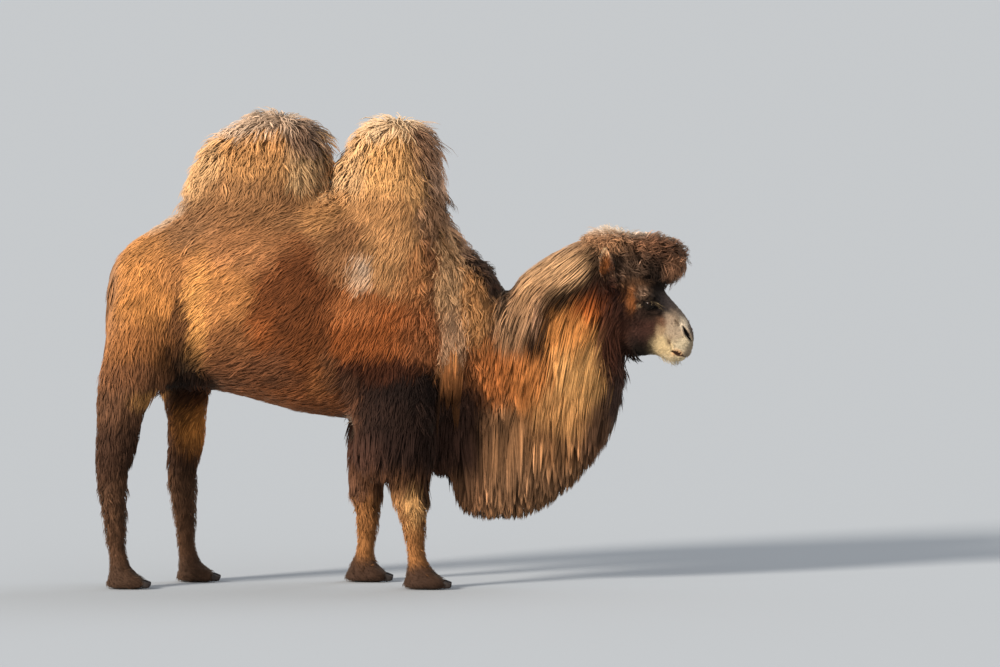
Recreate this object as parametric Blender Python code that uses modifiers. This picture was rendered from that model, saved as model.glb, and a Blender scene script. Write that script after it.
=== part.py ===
"""A Bactrian camel standing in its full winter coat: a life-size, still museum model.

The solids give the outline of the coat, out to the tips of the hair. The body is lofted from
sections, fused into one smooth form, and then parted into the pieces that a person would name.
The camel faces +X, its right side is towards -Y, and it stands on Z = 0. Sizes are in metres.
"""

import math
from collections import namedtuple

import bmesh
import bpy
import numpy as np
from mathutils import Matrix, Vector

# --- Driving sizes ---------------------------------------------------------------------------

BACK_HEIGHT = 1.79  # the dip between the humps
REAR_HUMP_HEIGHT = 2.15
FRONT_HUMP_HEIGHT = 2.125
AXIS_HEIGHT = 1.20  # the barrel's widest level
HEAD_LENGTH = 0.60
HEAD_PITCH = math.radians(-45)  # the muzzle points down and forward
POLL = Vector((0.96, 0.0, 1.46))  # the back of the skull, where the head's sections start
EYE_RADIUS = 0.021
EYE_CENTRE = Vector((1.146, 0.094, 1.273))  # the left eye; the right one is mirrored
FORE_TRACK = 0.185  # how far each fore foot stands from the middle
HIND_TRACK = 0.175

GAP = 0.0003  # between pieces that touch
ROOM = 0.0009  # around a piece that is seated in another
VOXEL = 0.011  # the grain at which the lofts are fused
SMOOTHING = 7
BODY_TRIANGLES = 3450
CUT_REACH = 4.0  # the length of a cutting box's open sides

# --- Setting up ------------------------------------------------------------------------------

for old in list(bpy.data.objects):
    bpy.data.objects.remove(old)

scene = bpy.context.scene
parts = bpy.data.collections.new("bactrian_camel")
cutters = bpy.data.collections.new("cutters")
for collection in (parts, cutters):
    scene.collection.children.link(collection)


def coat_material(name, colour, roughness=0.85):
    """A plain finish, in the linear colour given."""
    material = bpy.data.materials.new(name)
    material.use_nodes = True
    shader = material.node_tree.nodes["Principled BSDF"]
    shader.inputs["Base Color"].default_value = (*colour, 1.0)
    shader.inputs["Roughness"].default_value = roughness
    shader.inputs["Metallic"].default_value = 0.0
    return material


WOOL = coat_material("golden_wool", (0.36, 0.17, 0.06))
DARK_WOOL = coat_material("dark_wool", (0.05, 0.025, 0.015))
PALE_WOOL = coat_material("pale_wool", (0.50, 0.34, 0.19))
BEARD_WOOL = coat_material("beard_wool", (0.30, 0.14, 0.05))
SHORT_COAT = coat_material("short_coat", (0.16, 0.08, 0.035))
HORN = coat_material("horn", (0.04, 0.03, 0.025), 0.45)
EYE_GLOSS = coat_material("eye_gloss", (0.012, 0.007, 0.004), 0.08)


def mesh_object(name, mesh, collection, material=None):
    made = bpy.data.objects.new(name, mesh)
    collection.objects.link(made)
    if material:
        mesh.materials.clear()
        mesh.materials.append(material)
    if collection is cutters:
        made.hide_render = True
        made.display_type = "WIRE"
    return made


def frozen(source, name, collection, material=None):
    """The source as its modifiers leave it, as a plain mesh object. The source is removed."""
    bpy.context.view_layer.update()
    graph = bpy.context.evaluated_depsgraph_get()
    mesh = bpy.data.meshes.new_from_object(source.evaluated_get(graph))
    mesh.transform(source.matrix_world)
    bpy.data.objects.remove(source)
    return mesh_object(name, mesh, collection, material)


# --- Lofts -----------------------------------------------------------------------------------

# One section: the path's point, how far the form reaches on the upper (or forward) side and on
# the lower (or rear) side of it, and its half width across the body.
Section = namedtuple("Section", "x y z over under half")


def smooth_rows(rows, steps):
    """The sections with more of them in between, on Catmull-Rom curves through the given ones."""
    rows = np.array(rows, float)
    padded = np.vstack([2 * rows[0] - rows[1], rows, 2 * rows[-1] - rows[-2]])
    t = np.linspace(0, 1, steps, endpoint=False)[:, None]
    spans = [
        0.5 * (2 * b + (c - a) * t + (2 * a - 5 * b + 4 * c - d) * t**2 + (3 * b - a - 3 * c + d) * t**3)
        for a, b, c, d in zip(padded, padded[1:], padded[2:], padded[3:])
    ]
    return np.vstack([*spans, rows[-1:]])


def loft(name, rows, lean=None, square=2.0, egg=0.0, steps=4, sides=28):
    """A closed form through the sections.

    lean is the direction of every section's upper side, in degrees up from +X; without it, each
    section stands square to the path. square is the power of the section's superellipse, 2 for
    an ellipse. egg widens the upper side by that share and narrows the lower side.
    """
    rows = smooth_rows(rows, steps)
    along = np.gradient(rows[:, [0, 2]], axis=0)
    if lean is None:
        along /= np.linalg.norm(along, axis=1)[:, None]
        upper = np.column_stack([-along[:, 1], along[:, 0]])
    else:
        upper = np.tile([math.cos(math.radians(lean)), math.sin(math.radians(lean))], (len(rows), 1))
    turn = np.linspace(0, 2 * math.pi, sides, endpoint=False)
    cos, sin = np.cos(turn), np.sin(turn)
    across = np.sign(cos) * np.abs(cos) ** (2 / square) * (1 + egg * sin)
    rise = np.sign(sin) * np.abs(sin) ** (2 / square)
    reach = np.where(sin > 0, rows[:, 3, None], rows[:, 4, None]) * rise
    x = rows[:, 0, None] + upper[:, 0, None] * reach
    y = rows[:, 1, None] + rows[:, 5, None] * across
    z = rows[:, 2, None] + upper[:, 1, None] * reach

    shape = bmesh.new()
    rings = [[shape.verts.new(p) for p in zip(*ring)] for ring in zip(x, y, z)]
    for ring, following in zip(rings, rings[1:]):
        for i in range(sides):
            j = (i + 1) % sides
            shape.faces.new((ring[i], ring[j], following[j], following[i]))
    shape.faces.new(rings[0])
    shape.faces.new(rings[-1])
    bmesh.ops.recalc_face_normals(shape, faces=shape.faces)
    mesh = bpy.data.meshes.new(name)
    shape.to_mesh(mesh)
    shape.free()
    return mesh_object(name, mesh, parts)


def ball(name, centre, radii, turns=(0, 0, 0), segments=24, collection=parts):
    """An ellipsoid with the half axes given, turned by these degrees about X, Y and Z."""
    shape = bmesh.new()
    bmesh.ops.create_uvsphere(shape, u_segments=segments, v_segments=segments // 2, radius=1.0)
    turned = Matrix.LocRotScale(Vector(centre), None, None)
    for angle, axis in zip(turns, "XYZ"):
        turned = turned @ Matrix.Rotation(math.radians(angle), 4, axis)
    shape.transform(turned @ Matrix.Diagonal((*radii, 1.0)))
    mesh = bpy.data.meshes.new(name)
    shape.to_mesh(mesh)
    shape.free()
    return mesh_object(name, mesh, collection)


# --- Trunk and humps -------------------------------------------------------------------------

# Along the barrel: x, the back's height, the belly's height, half width.
TRUNK = (
    (-1.272, 1.40, 1.08, 0.06),
    (-1.240, 1.51, 1.00, 0.16),
    (-1.150, 1.590, 0.93, 0.240),
    (-1.000, 1.675, 0.90, 0.280),
    (-0.880, 1.720, 0.880, 0.315),
    (-0.700, 1.755, 0.845, 0.380),
    (-0.430, 1.785, 0.770, 0.400),
    (-0.220, BACK_HEIGHT, 0.740, 0.385),
    (0.000, 1.770, 0.705, 0.345),
    (0.130, 1.710, 0.660, 0.305),
    (0.240, 1.620, 0.640, 0.255),
    (0.330, 1.480, 0.680, 0.190),
    (0.390, 1.340, 0.780, 0.100),
)
trunk_rows = [
    Section(x, 0, AXIS_HEIGHT, back - AXIS_HEIGHT, AXIS_HEIGHT - belly, half)
    for x, back, belly, half in TRUNK
]

# Up each hump: height, its rear edge, its front edge, half width.
REAR_HUMP = (
    (1.55, -0.950, -0.300, 0.290),
    (1.70, -0.955, -0.300, 0.250),
    (1.80, -0.957, -0.300, 0.215),
    (1.90, -0.915, -0.280, 0.185),
    (1.98, -0.855, -0.280, 0.160),
    (2.05, -0.775, -0.310, 0.135),
    (2.11, -0.680, -0.395, 0.100),
    (REAR_HUMP_HEIGHT, -0.590, -0.500, 0.040),
)
FRONT_HUMP = (
    (1.55, -0.290, 0.270, 0.280),
    (1.70, -0.280, 0.240, 0.235),
    (1.80, -0.268, 0.225, 0.200),
    (1.90, -0.250, 0.212, 0.170),
    (1.98, -0.208, 0.205, 0.150),
    (2.05, -0.165, 0.170, 0.125),
    (2.10, -0.110, 0.110, 0.090),
    (FRONT_HUMP_HEIGHT, -0.050, 0.030, 0.035),
)


def hump_rows(table):
    return [Section((a + b) / 2, 0, z, (b - a) / 2, (b - a) / 2, half) for z, a, b, half in table]


body = [
    loft("trunk_form", trunk_rows, lean=90, square=2.15),
    loft("rear_hump_form", hump_rows(REAR_HUMP), lean=0),
    loft("front_hump_form", hump_rows(FRONT_HUMP), lean=0),
]

# --- Neck, mane and beard --------------------------------------------------------------------

NECK = (
    Section(0.10, 0, 1.24, 0.36, 0.44, 0.270),
    Section(0.27, 0, 1.15, 0.345, 0.37, 0.225),
    Section(0.41, 0, 1.07, 0.265, 0.30, 0.185),
    Section(0.54, 0, 1.040, 0.200, 0.25, 0.165),
    Section(0.67, 0, 1.075, 0.235, 0.26, 0.158),
    Section(0.80, 0, 1.165, 0.235, 0.25, 0.152),
    Section(0.90, 0, 1.280, 0.220, 0.20, 0.145),
    Section(0.96, 0, 1.400, 0.180, 0.150, 0.132),
)
# The long hair of the crest, combed back over the neck from the poll.
MANE = (
    Section(0.535, 0, 1.110, 0.040, 0.10, 0.110),
    Section(0.575, 0, 1.205, 0.115, 0.16, 0.160),
    Section(0.640, 0, 1.300, 0.130, 0.18, 0.172),
    Section(0.750, 0, 1.385, 0.130, 0.17, 0.168),
    Section(0.860, 0, 1.450, 0.128, 0.16, 0.160),
    Section(0.960, 0, 1.492, 0.124, 0.14, 0.150),
    Section(1.060, 0, 1.512, 0.096, 0.11, 0.130),
)
# The throat's beard, from the top down: height, rear edge, front edge, half width.
BEARD = (
    (1.16, 0.500, 0.960, 0.120),
    (1.02, 0.370, 1.045, 0.142),
    (0.88, 0.335, 1.050, 0.146),
    (0.74, 0.320, 1.008, 0.138),
    (0.62, 0.300, 0.943, 0.125),
    (0.52, 0.275, 0.865, 0.112),
    (0.43, 0.250, 0.780, 0.094),
    (0.36, 0.270, 0.690, 0.072),
    (0.305, 0.370, 0.580, 0.030),
)
body += [
    loft("neck_form", NECK),
    loft("mane_form", MANE),
    loft("beard_form", hump_rows(BEARD), lean=0, square=2.4),
    # The tuft that hangs from the breast, between the beard and the fore legs.
    loft(
        "breast_form",
        [
            Section(0.22, 0, 0.97, 0.14, 0.18, 0.20),
            Section(0.23, 0, 0.80, 0.13, 0.20, 0.17),
            Section(0.24, 0, 0.66, 0.11, 0.19, 0.14),
            Section(0.25, 0, 0.56, 0.09, 0.15, 0.10),
            Section(0.26, 0, 0.49, 0.05, 0.07, 0.05),
        ],
        lean=0,
    ),
]

# --- Head ------------------------------------------------------------------------------------

along_head = Vector((math.cos(HEAD_PITCH), 0, math.sin(HEAD_PITCH)))
over_head = Vector((-along_head.z, 0, along_head.x))


def on_head(along, over, side=0.0):
    """A point of the head: that far from the poll to the lips, over the axis and to the left."""
    return POLL + along_head * along + over_head * over + Vector((0, side, 0))


# Down the head, as shares of its length: over and under the axis, half width.
HEAD = (
    (-0.10, 0.060, -0.100, 0.080),
    (0.03, 0.110, -0.150, 0.112),
    (0.16, 0.120, -0.178, 0.124),
    (0.30, 0.112, -0.182, 0.118),
    (0.41, 0.098, -0.172, 0.104),
    (0.52, 0.088, -0.158, 0.088),
    (0.62, 0.084, -0.150, 0.077),
    (0.71, 0.080, -0.144, 0.072),
    (0.79, 0.066, -0.138, 0.071),
    (0.86, 0.040, -0.124, 0.066),
    (0.915, 0.004, -0.096, 0.052),
    (0.945, -0.026, -0.066, 0.020),
)
head_rows = []
for share, over, under, half in HEAD:
    middle = on_head(share * HEAD_LENGTH, (over + under) / 2)
    head_rows.append(Section(middle.x, 0, middle.z, (over - under) / 2, (over - under) / 2, half))
body.append(loft("head_form", head_rows, lean=45, square=2.3, egg=0.06))

# The hair under the jaw fills the throat down to the beard.
body.append(ball("jaw_form", (1.105, 0, 1.118), (0.105, 0.072, 0.090)))
for side in (1, -1):
    # The brow stands out over the eye, and the cheek and the nostril's wing swell.
    body += [
        ball("brow_form", on_head(0.235, 0.036, side * 0.084), (0.060, 0.030, 0.026), (0, 45, 0)),
        ball("cheek_form", on_head(0.17, -0.075, side * 0.068), (0.105, 0.055, 0.085), (0, 45, 0)),
        ball("nostril_form", on_head(0.480, 0.020, side * 0.040), (0.050, 0.028, 0.034), (0, 45, 0)),
    ]

FORELOCK = (
    Section(1.020, 0, 1.515, 0.085, 0.09, 0.118),
    Section(1.100, 0, 1.500, 0.100, 0.10, 0.126),
    Section(1.190, 0, 1.475, 0.116, 0.11, 0.124),
    Section(1.262, 0, 1.448, 0.106, 0.10, 0.104),
    Section(1.305, 0, 1.428, 0.070, 0.07, 0.066),
)
body.append(loft("forelock_form", FORELOCK, square=2.2))

# --- Legs ------------------------------------------------------------------------------------

# A leg runs down from the trunk: x, height, reach forwards, reach backwards, half width, and how
# far its middle is inside (+) or outside (-) the track of its foot.
FORE_UPPER_RIGHT = (
    (0.020, 1.28, 0.160, 0.150, 0.110, 0.03),
    (0.015, 1.12, 0.200, 0.200, 0.148, 0.01),
    (0.010, 0.97, 0.205, 0.205, 0.142, 0.0),
    (0.005, 0.84, 0.200, 0.205, 0.134, 0.0),
    (0.005, 0.70, 0.195, 0.200, 0.130, 0.0),
    (0.010, 0.60, 0.190, 0.195, 0.126, 0.0),
    (0.015, 0.53, 0.175, 0.175, 0.112, 0.0),
    (0.025, 0.480, 0.130, 0.130, 0.080, 0.0),
)
FORE_LOWER_RIGHT = (
    (0.060, 0.60, 0.085, 0.085, 0.080, 0.0),
    (0.070, 0.48, 0.092, 0.092, 0.080, 0.0),
    (0.077, 0.40, 0.088, 0.086, 0.074, 0.0),
    (0.086, 0.33, 0.064, 0.064, 0.058, 0.0),
    (0.093, 0.25, 0.054, 0.054, 0.050, 0.0),
    (0.100, 0.17, 0.048, 0.048, 0.047, 0.0),
    (0.108, 0.115, 0.056, 0.052, 0.054, 0.0),
    (0.118, 0.070, 0.072, 0.072, 0.066, 0.0),
)
FORE_UPPER_LEFT = (
    (-0.010, 1.28, 0.160, 0.150, 0.110, 0.03),
    (-0.025, 1.12, 0.200, 0.195, 0.148, 0.01),
    (-0.040, 0.97, 0.200, 0.185, 0.142, 0.0),
    (-0.060, 0.84, 0.190, 0.165, 0.134, 0.0),
    (-0.085, 0.70, 0.170, 0.140, 0.126, 0.0),
    (-0.105, 0.58, 0.140, 0.115, 0.112, 0.0),
    (-0.125, 0.48, 0.100, 0.095, 0.090, 0.0),
    (-0.145, 0.40, 0.060, 0.065, 0.070, 0.0),
)
FORE_LOWER_LEFT = (
    (-0.120, 0.60, 0.085, 0.085, 0.080, 0.0),
    (-0.132, 0.48, 0.088, 0.088, 0.080, 0.0),
    (-0.130, 0.40, 0.076, 0.078, 0.072, 0.0),
    (-0.120, 0.33, 0.058, 0.060, 0.058, 0.0),
    (-0.122, 0.25, 0.052, 0.053, 0.050, 0.0),
    (-0.130, 0.17, 0.048, 0.050, 0.047, 0.0),
    (-0.140, 0.115, 0.055, 0.052, 0.054, 0.0),
    (-0.145, 0.070, 0.072, 0.072, 0.066, 0.0),
)
HIND_RIGHT = (
    (-1.080, 1.42, 0.130, 0.140, 0.100, 0.06),
    (-1.100, 1.28, 0.160, 0.175, 0.125, 0.02),
    (-1.120, 1.11, 0.172, 0.180, 0.130, 0.0),
    (-1.155, 0.96, 0.165, 0.180, 0.126, 0.0),
    (-1.195, 0.86, 0.142, 0.150, 0.112, 0.0),
    (-1.220, 0.78, 0.118, 0.125, 0.100, 0.0),
    (-1.232, 0.68, 0.112, 0.116, 0.092, 0.0),
    (-1.245, 0.58, 0.100, 0.108, 0.082, 0.0),
    (-1.258, 0.50, 0.080, 0.090, 0.070, 0.0),
    (-1.255, 0.42, 0.064, 0.066, 0.060, 0.0),
    (-1.248, 0.30, 0.054, 0.054, 0.050, 0.0),
    (-1.240, 0.18, 0.048, 0.048, 0.046, 0.0),
    (-1.230, 0.110, 0.054, 0.052, 0.052, 0.0),
    (-1.220, 0.065, 0.066, 0.066, 0.060, 0.0),
)
HIND_LEFT = (
    (-1.050, 1.42, 0.130, 0.140, 0.100, 0.06),
    (-1.030, 1.28, 0.160, 0.175, 0.125, 0.02),
    (-1.000, 1.11, 0.165, 0.180, 0.130, 0.0),
    (-0.965, 0.97, 0.150, 0.165, 0.126, 0.0),
    (-0.948, 0.88, 0.132, 0.135, 0.112, 0.0),
    (-0.942, 0.78, 0.108, 0.110, 0.098, 0.0),
    (-0.940, 0.68, 0.102, 0.104, 0.090, 0.0),
    (-0.948, 0.58, 0.092, 0.102, 0.080, 0.0),
    (-0.960, 0.50, 0.078, 0.088, 0.070, 0.0),
    (-0.958, 0.42, 0.062, 0.064, 0.060, 0.0),
    (-0.952, 0.30, 0.054, 0.054, 0.050, 0.0),
    (-0.946, 0.18, 0.048, 0.048, 0.046, 0.0),
    (-0.936, 0.110, 0.054, 0.052, 0.052, 0.0),
    (-0.925, 0.065, 0.066, 0.066, 0.060, 0.0),
)


def leg_rows(table, side, track):
    return [
        Section(x, side * (track - inwards), z, fore, aft, half)
        for x, z, fore, aft, half, inwards in table
    ]


# Each foot: its middle, length and width, and the side it is on. The fore feet are the larger.
Foot = namedtuple("Foot", "name x side track length width")
FEET = (
    Foot("fore_right", 0.140, -1, FORE_TRACK, 0.215, 0.185),
    Foot("fore_left", -0.128, 1, FORE_TRACK, 0.215, 0.185),
    Foot("hind_right", -1.200, -1, HIND_TRACK, 0.195, 0.160),
    Foot("hind_left", -0.902, 1, HIND_TRACK, 0.195, 0.160),
)
for foot in FEET:
    middle = foot.side * foot.track
    # The pad is a broad cushion, and in front of it two toes part at a shallow cleft.
    body.append(
        ball(
            "pad_form",
            (foot.x - 0.015, middle, 0.022),
            (foot.length * 0.45, foot.width * 0.46, 0.042),
        )
    )
    for toe in (1, -1):
        body.append(
            ball(
                "toe_form",
                (foot.x + foot.length * 0.20, middle + toe * foot.width * 0.235, 0.028),
                (foot.length * 0.31, foot.width * 0.235, 0.042),
                (0, 8, 0),
            )
        )

body += [
    loft("fore_right_puff", leg_rows(FORE_UPPER_RIGHT, -1, FORE_TRACK), lean=0, square=2.2),
    loft("fore_right_shank", leg_rows(FORE_LOWER_RIGHT, -1, FORE_TRACK), lean=0),
    loft("fore_left_puff", leg_rows(FORE_UPPER_LEFT, 1, FORE_TRACK), lean=0, square=2.2),
    loft("fore_left_shank", leg_rows(FORE_LOWER_LEFT, 1, FORE_TRACK), lean=0),
    loft("hind_right_form", leg_rows(HIND_RIGHT, -1, HIND_TRACK), lean=0),
    loft("hind_left_form", leg_rows(HIND_LEFT, 1, HIND_TRACK), lean=0),
]

# --- Fusing the forms ------------------------------------------------------------------------


def fuse(forms, name):
    """All the forms as one skin: remeshed, smoothed, and thinned to the faces it needs."""
    whole = bmesh.new()
    for form in forms:
        whole.from_mesh(form.data)
        bpy.data.objects.remove(form)
    mesh = bpy.data.meshes.new(name)
    whole.to_mesh(mesh)
    whole.free()
    fused = mesh_object(name, mesh, parts)
    remesh = fused.modifiers.new("one_skin", "REMESH")
    remesh.mode = "VOXEL"
    remesh.voxel_size = VOXEL
    smooth = fused.modifiers.new("soften", "SMOOTH")
    smooth.factor = 0.5
    smooth.iterations = SMOOTHING
    fused = frozen(fused, name, parts)
    thin = fused.modifiers.new("thin_out", "DECIMATE")
    thin.ratio = BODY_TRIANGLES / (2 * len(fused.data.polygons))
    return frozen(fused, name, parts)


# --- Cutting ---------------------------------------------------------------------------------


def boolean(target, operation, tool):
    cut = target.modifiers.new(tool.name, "BOOLEAN")
    cut.operation = operation
    cut.solver = "EXACT"
    cut.object = tool
    return cut


def box(name, low, high, pivot=(0, 0, 0), lean=0.0, slope=0.0, grow=0.0):
    """A cutting box between two corners, grown by a margin.

    Its upright sides lean along X with height, and its level sides slope up along X, about pivot.
    """
    low = Vector(low) - Vector((grow, grow, grow))
    high = Vector(high) + Vector((grow, grow, grow))
    shape = bmesh.new()
    bmesh.ops.create_cube(shape, size=1.0)
    shape.transform(Matrix.Translation((low + high) / 2) @ Matrix.Diagonal((*(high - low), 1.0)))
    for corner in shape.verts:
        aside, above = corner.co.x - pivot[0], corner.co.z - pivot[2]
        corner.co += Vector((lean * above, 0, slope * aside))
    mesh = bpy.data.meshes.new(name)
    shape.to_mesh(mesh)
    shape.free()
    return mesh_object(name, mesh, cutters)


def peel(whole, name, material, **tool):
    """Parts the piece inside a cutting box from the whole; returns what is left of the whole."""
    piece = mesh_object(name, whole.data.copy(), parts)
    boolean(piece, "INTERSECT", box(name + "_cut", **tool))
    frozen(piece, name, parts, material)
    boolean(whole, "DIFFERENCE", box(name + "_room", grow=GAP, **tool))
    return frozen(whole, whole.name, parts)


def seat(piece, host):
    """Sets a separate closed piece into the host, in a room cut a little wider than the piece."""
    host = parts.objects[host]
    room = mesh_object(piece.name + "_room", piece.data.copy(), cutters)
    grow = room.modifiers.new("grow", "DISPLACE")
    grow.strength = ROOM
    grow.mid_level = 0.0
    boolean(host, "DIFFERENCE", frozen(room, piece.name + "_room", cutters))
    frozen(host, host.name, parts, host.data.materials[0])


camel = fuse(body, "camel")
FAR = CUT_REACH

# The soles are flat, at one level.
boolean(camel, "DIFFERENCE", box("ground", (-FAR, -FAR, -1), (FAR, FAR, 0)))
camel = frozen(camel, "camel", parts)

# The body parts where a person would name its pieces. The humps stand on the back:
DIP = (-0.300, 0, 1.780)
camel = peel(
    camel, "hump_rear", PALE_WOOL, low=(-FAR, -FAR, 1.765), high=(DIP[0], FAR, FAR), pivot=DIP,
    lean=0.22,
)
camel = peel(
    camel, "hump_front", PALE_WOOL, low=(DIP[0], -FAR, 1.765), high=(0.50, FAR, FAR), pivot=DIP,
    lean=0.22,
)
# the head ends at a slanting cut from behind the poll down to the throat,
camel = peel(
    camel, "head", SHORT_COAT, low=(0.860, -FAR, 0.5), high=(FAR, FAR, FAR), pivot=(0, 0, 1.62),
    lean=-0.336,
)
# and the beard hangs below a line from the chest up to the throat.
camel = peel(
    camel, "beard", BEARD_WOOL, low=(0.300, -FAR, -1), high=(1.5, FAR, 0.73), pivot=(0.300, 0, 0),
    slope=0.36,
)
camel = peel(
    camel, "mane", PALE_WOOL, low=(0.500, -FAR, 1.100), high=(FAR, FAR, FAR), pivot=(0.500, 0, 0),
    slope=0.62,
)
camel = peel(
    camel, "neck", WOOL, low=(0.500, -FAR, 0.60), high=(FAR, FAR, FAR), pivot=(0, 0, 1.340),
    lean=0.357,
)
camel = peel(camel, "breast_tuft", DARK_WOOL, low=(0.212, -FAR, 0.25), high=(FAR, FAR, 0.78))

# Every leg: its side, the reach of its upper piece along X, and the heights of its cuts.
Leg = namedtuple("Leg", "name side rear front top knee ankle")
LEGS = (
    Leg("fore_right", -1, -0.30, 0.300, 0.740, 0.430, 0.098),
    Leg("fore_left", 1, -0.30, 0.300, 0.740, 0.430, 0.098),
    Leg("hind_right", -1, -FAR, -0.850, 0.930, 0.480, 0.090),
    Leg("hind_left", 1, -FAR, -0.760, 0.930, 0.480, 0.090),
)
for leg in LEGS:
    near, far = sorted((0.0, leg.side * FAR))
    for name, top, material in (
        ("foot", leg.ankle, SHORT_COAT),
        ("lower_leg", leg.knee, SHORT_COAT),
        ("upper_leg", leg.top, DARK_WOOL),
    ):
        low, high = (leg.rear, near, -1), (leg.front, far, top)
        camel = peel(camel, f"{leg.name}_{name}", material, low=low, high=high)
frozen(camel, "trunk", parts, WOOL)

# The topknot is parted from the skull, and the lower jaw along the mouth.
head = parts.objects["head"]
head = peel(
    head, "topknot", BEARD_WOOL, low=(0.5, -FAR, 1.525), high=(FAR, FAR, FAR), pivot=(0.900, 0, 0),
    slope=-0.56,
)
MOUTH_CORNER = on_head(0.350, -0.098)
MOUTH_FRONT = on_head(0.560, -0.070)
mouth_slope = (MOUTH_FRONT.z - MOUTH_CORNER.z) / (MOUTH_FRONT.x - MOUTH_CORNER.x)
head = peel(
    head, "lower_jaw", SHORT_COAT, low=(1.09, -FAR, 0), high=(FAR, FAR, MOUTH_CORNER.z),
    pivot=tuple(MOUTH_CORNER), slope=mouth_slope,
)
frozen(head, "head", parts, SHORT_COAT)

# --- Ears, eyes, nails and tail --------------------------------------------------------------

# An ear from its root to its tip: share of the way, half width, half thickness.
EAR = (
    (-0.05, 0.018, 0.016),
    (0.20, 0.030, 0.018),
    (0.50, 0.037, 0.016),
    (0.80, 0.031, 0.012),
    (1.00, 0.012, 0.006),
)
EAR_LENGTH = 0.125
for side, label in ((1, "left"), (-1, "right")):
    root = Vector((0.960, side * 0.118, 1.390))
    tip = root + Vector((-0.012, side * 0.054, 0.115)).normalized() * EAR_LENGTH
    rows = []
    for share, wide, thick in EAR:
        place = root.lerp(tip, share)
        rows.append(Section(place.x, place.y, place.z, wide, wide, thick))
    ear = loft(f"ear_{label}", rows, steps=2, sides=10)
    ear.data.materials.append(SHORT_COAT)
    for host in ("head", "topknot", "mane"):
        seat(ear, host)
    middle = (EYE_CENTRE.x, side * EYE_CENTRE.y, EYE_CENTRE.z)
    eye = ball(f"eye_{label}", middle, (EYE_RADIUS,) * 3, segments=14)
    eye.data.materials.append(EYE_GLOSS)
    seat(eye, "head")

for foot in FEET:
    for toe, label in ((1, "left"), (-1, "right")):
        aside = foot.side * foot.track + toe * foot.width * 0.235
        place = (foot.x + foot.length * 0.46, aside, 0.024)
        name = f"{foot.name}_{label}_nail"
        nail = ball(name, place, (0.024, 0.016, 0.018), (0, 25, 0), segments=8)
        nail.data.materials.append(HORN)
        seat(nail, f"{foot.name}_foot")

TAIL = (
    Section(-1.228, 0, 1.500, 0.020, 0.020, 0.028),
    Section(-1.266, 0, 1.400, 0.020, 0.022, 0.032),
    Section(-1.282, 0, 1.250, 0.018, 0.020, 0.030),
    Section(-1.290, 0, 1.100, 0.020, 0.020, 0.034),
    Section(-1.308, 0, 0.980, 0.024, 0.020, 0.040),
    Section(-1.318, 0, 0.880, 0.022, 0.016, 0.034),
    Section(-1.320, 0, 0.820, 0.010, 0.010, 0.014),
)
tail = loft("tail", TAIL, steps=2, sides=12)
tail.data.materials.append(DARK_WOOL)
seat(tail, "trunk")
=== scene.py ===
# A two-humped camel in its full winter coat, standing in profile: one skin over the whole body, dark
# eyes under heavy lids, ears, toenails, and a coat of solid wool locks combed the way a real coat lies.
# Metres; the camel faces +X, its right side is towards -Y, and the ground is Z = 0.
import math
from contextlib import contextmanager
from types import SimpleNamespace

import bmesh
import bpy
import numpy as np
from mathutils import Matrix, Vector, kdtree
from mathutils.bvhtree import BVHTree


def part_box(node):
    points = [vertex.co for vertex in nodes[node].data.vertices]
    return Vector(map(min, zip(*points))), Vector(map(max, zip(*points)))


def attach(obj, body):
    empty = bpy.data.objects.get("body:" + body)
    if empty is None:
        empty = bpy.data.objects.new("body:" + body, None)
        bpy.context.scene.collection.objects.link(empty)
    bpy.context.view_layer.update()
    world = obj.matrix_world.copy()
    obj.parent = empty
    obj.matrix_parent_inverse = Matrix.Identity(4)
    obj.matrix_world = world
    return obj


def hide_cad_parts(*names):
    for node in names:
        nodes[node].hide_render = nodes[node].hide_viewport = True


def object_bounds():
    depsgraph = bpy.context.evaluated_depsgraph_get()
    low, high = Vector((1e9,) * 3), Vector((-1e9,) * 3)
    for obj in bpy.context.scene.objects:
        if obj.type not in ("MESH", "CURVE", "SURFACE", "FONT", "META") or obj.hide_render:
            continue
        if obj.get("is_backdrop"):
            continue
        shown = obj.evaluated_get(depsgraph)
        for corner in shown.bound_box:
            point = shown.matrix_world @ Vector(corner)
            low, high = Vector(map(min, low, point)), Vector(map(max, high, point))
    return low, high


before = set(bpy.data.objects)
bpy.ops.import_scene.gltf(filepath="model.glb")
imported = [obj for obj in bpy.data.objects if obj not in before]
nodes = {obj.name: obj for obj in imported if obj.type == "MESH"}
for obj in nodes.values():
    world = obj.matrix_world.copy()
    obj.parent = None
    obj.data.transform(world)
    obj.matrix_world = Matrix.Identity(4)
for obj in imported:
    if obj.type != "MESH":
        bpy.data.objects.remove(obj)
cad_low, cad_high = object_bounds()

# ---------------------------------------------------------------------------------------------------------
# Studio: a long lens square to the animal's right side and a little above it, a pale floor that runs out
# of sight, and low soft light from behind the camera's left shoulder.

CAMERA_DISTANCE = 30.0
CAMERA_DOWN = math.radians(3.1)
SHOWN_WIDTH = 4.5
AIM_ALONG, AIM_UP = 0.676, 0.5286  # shares of the animal's length and height
FLOOR_REACH = 2500.0


def added(name, data):
    """A new object in the scene."""
    made = bpy.data.objects.new(name, data)
    bpy.context.scene.collection.objects.link(made)
    return made


def material_of(name, values):
    """A new material and its Principled shader, with these values in the shader's sockets."""
    made = bpy.data.materials.new(name)
    made.use_nodes = True
    shader = made.node_tree.nodes["Principled BSDF"]
    for socket, value in values.items():
        shader.inputs[socket].default_value = value
    return made, shader


def sunlight(name, towards, strength, softness, colour):
    """A distant lamp that shines in the direction `towards`, with soft edges to its shadows."""
    lamp = bpy.data.lights.new(name, "SUN")
    lamp.energy, lamp.angle, lamp.color = strength, math.radians(softness), colour
    added(name, lamp).rotation_euler = Vector(towards).to_track_quat("-Z", "Y").to_euler()


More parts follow.
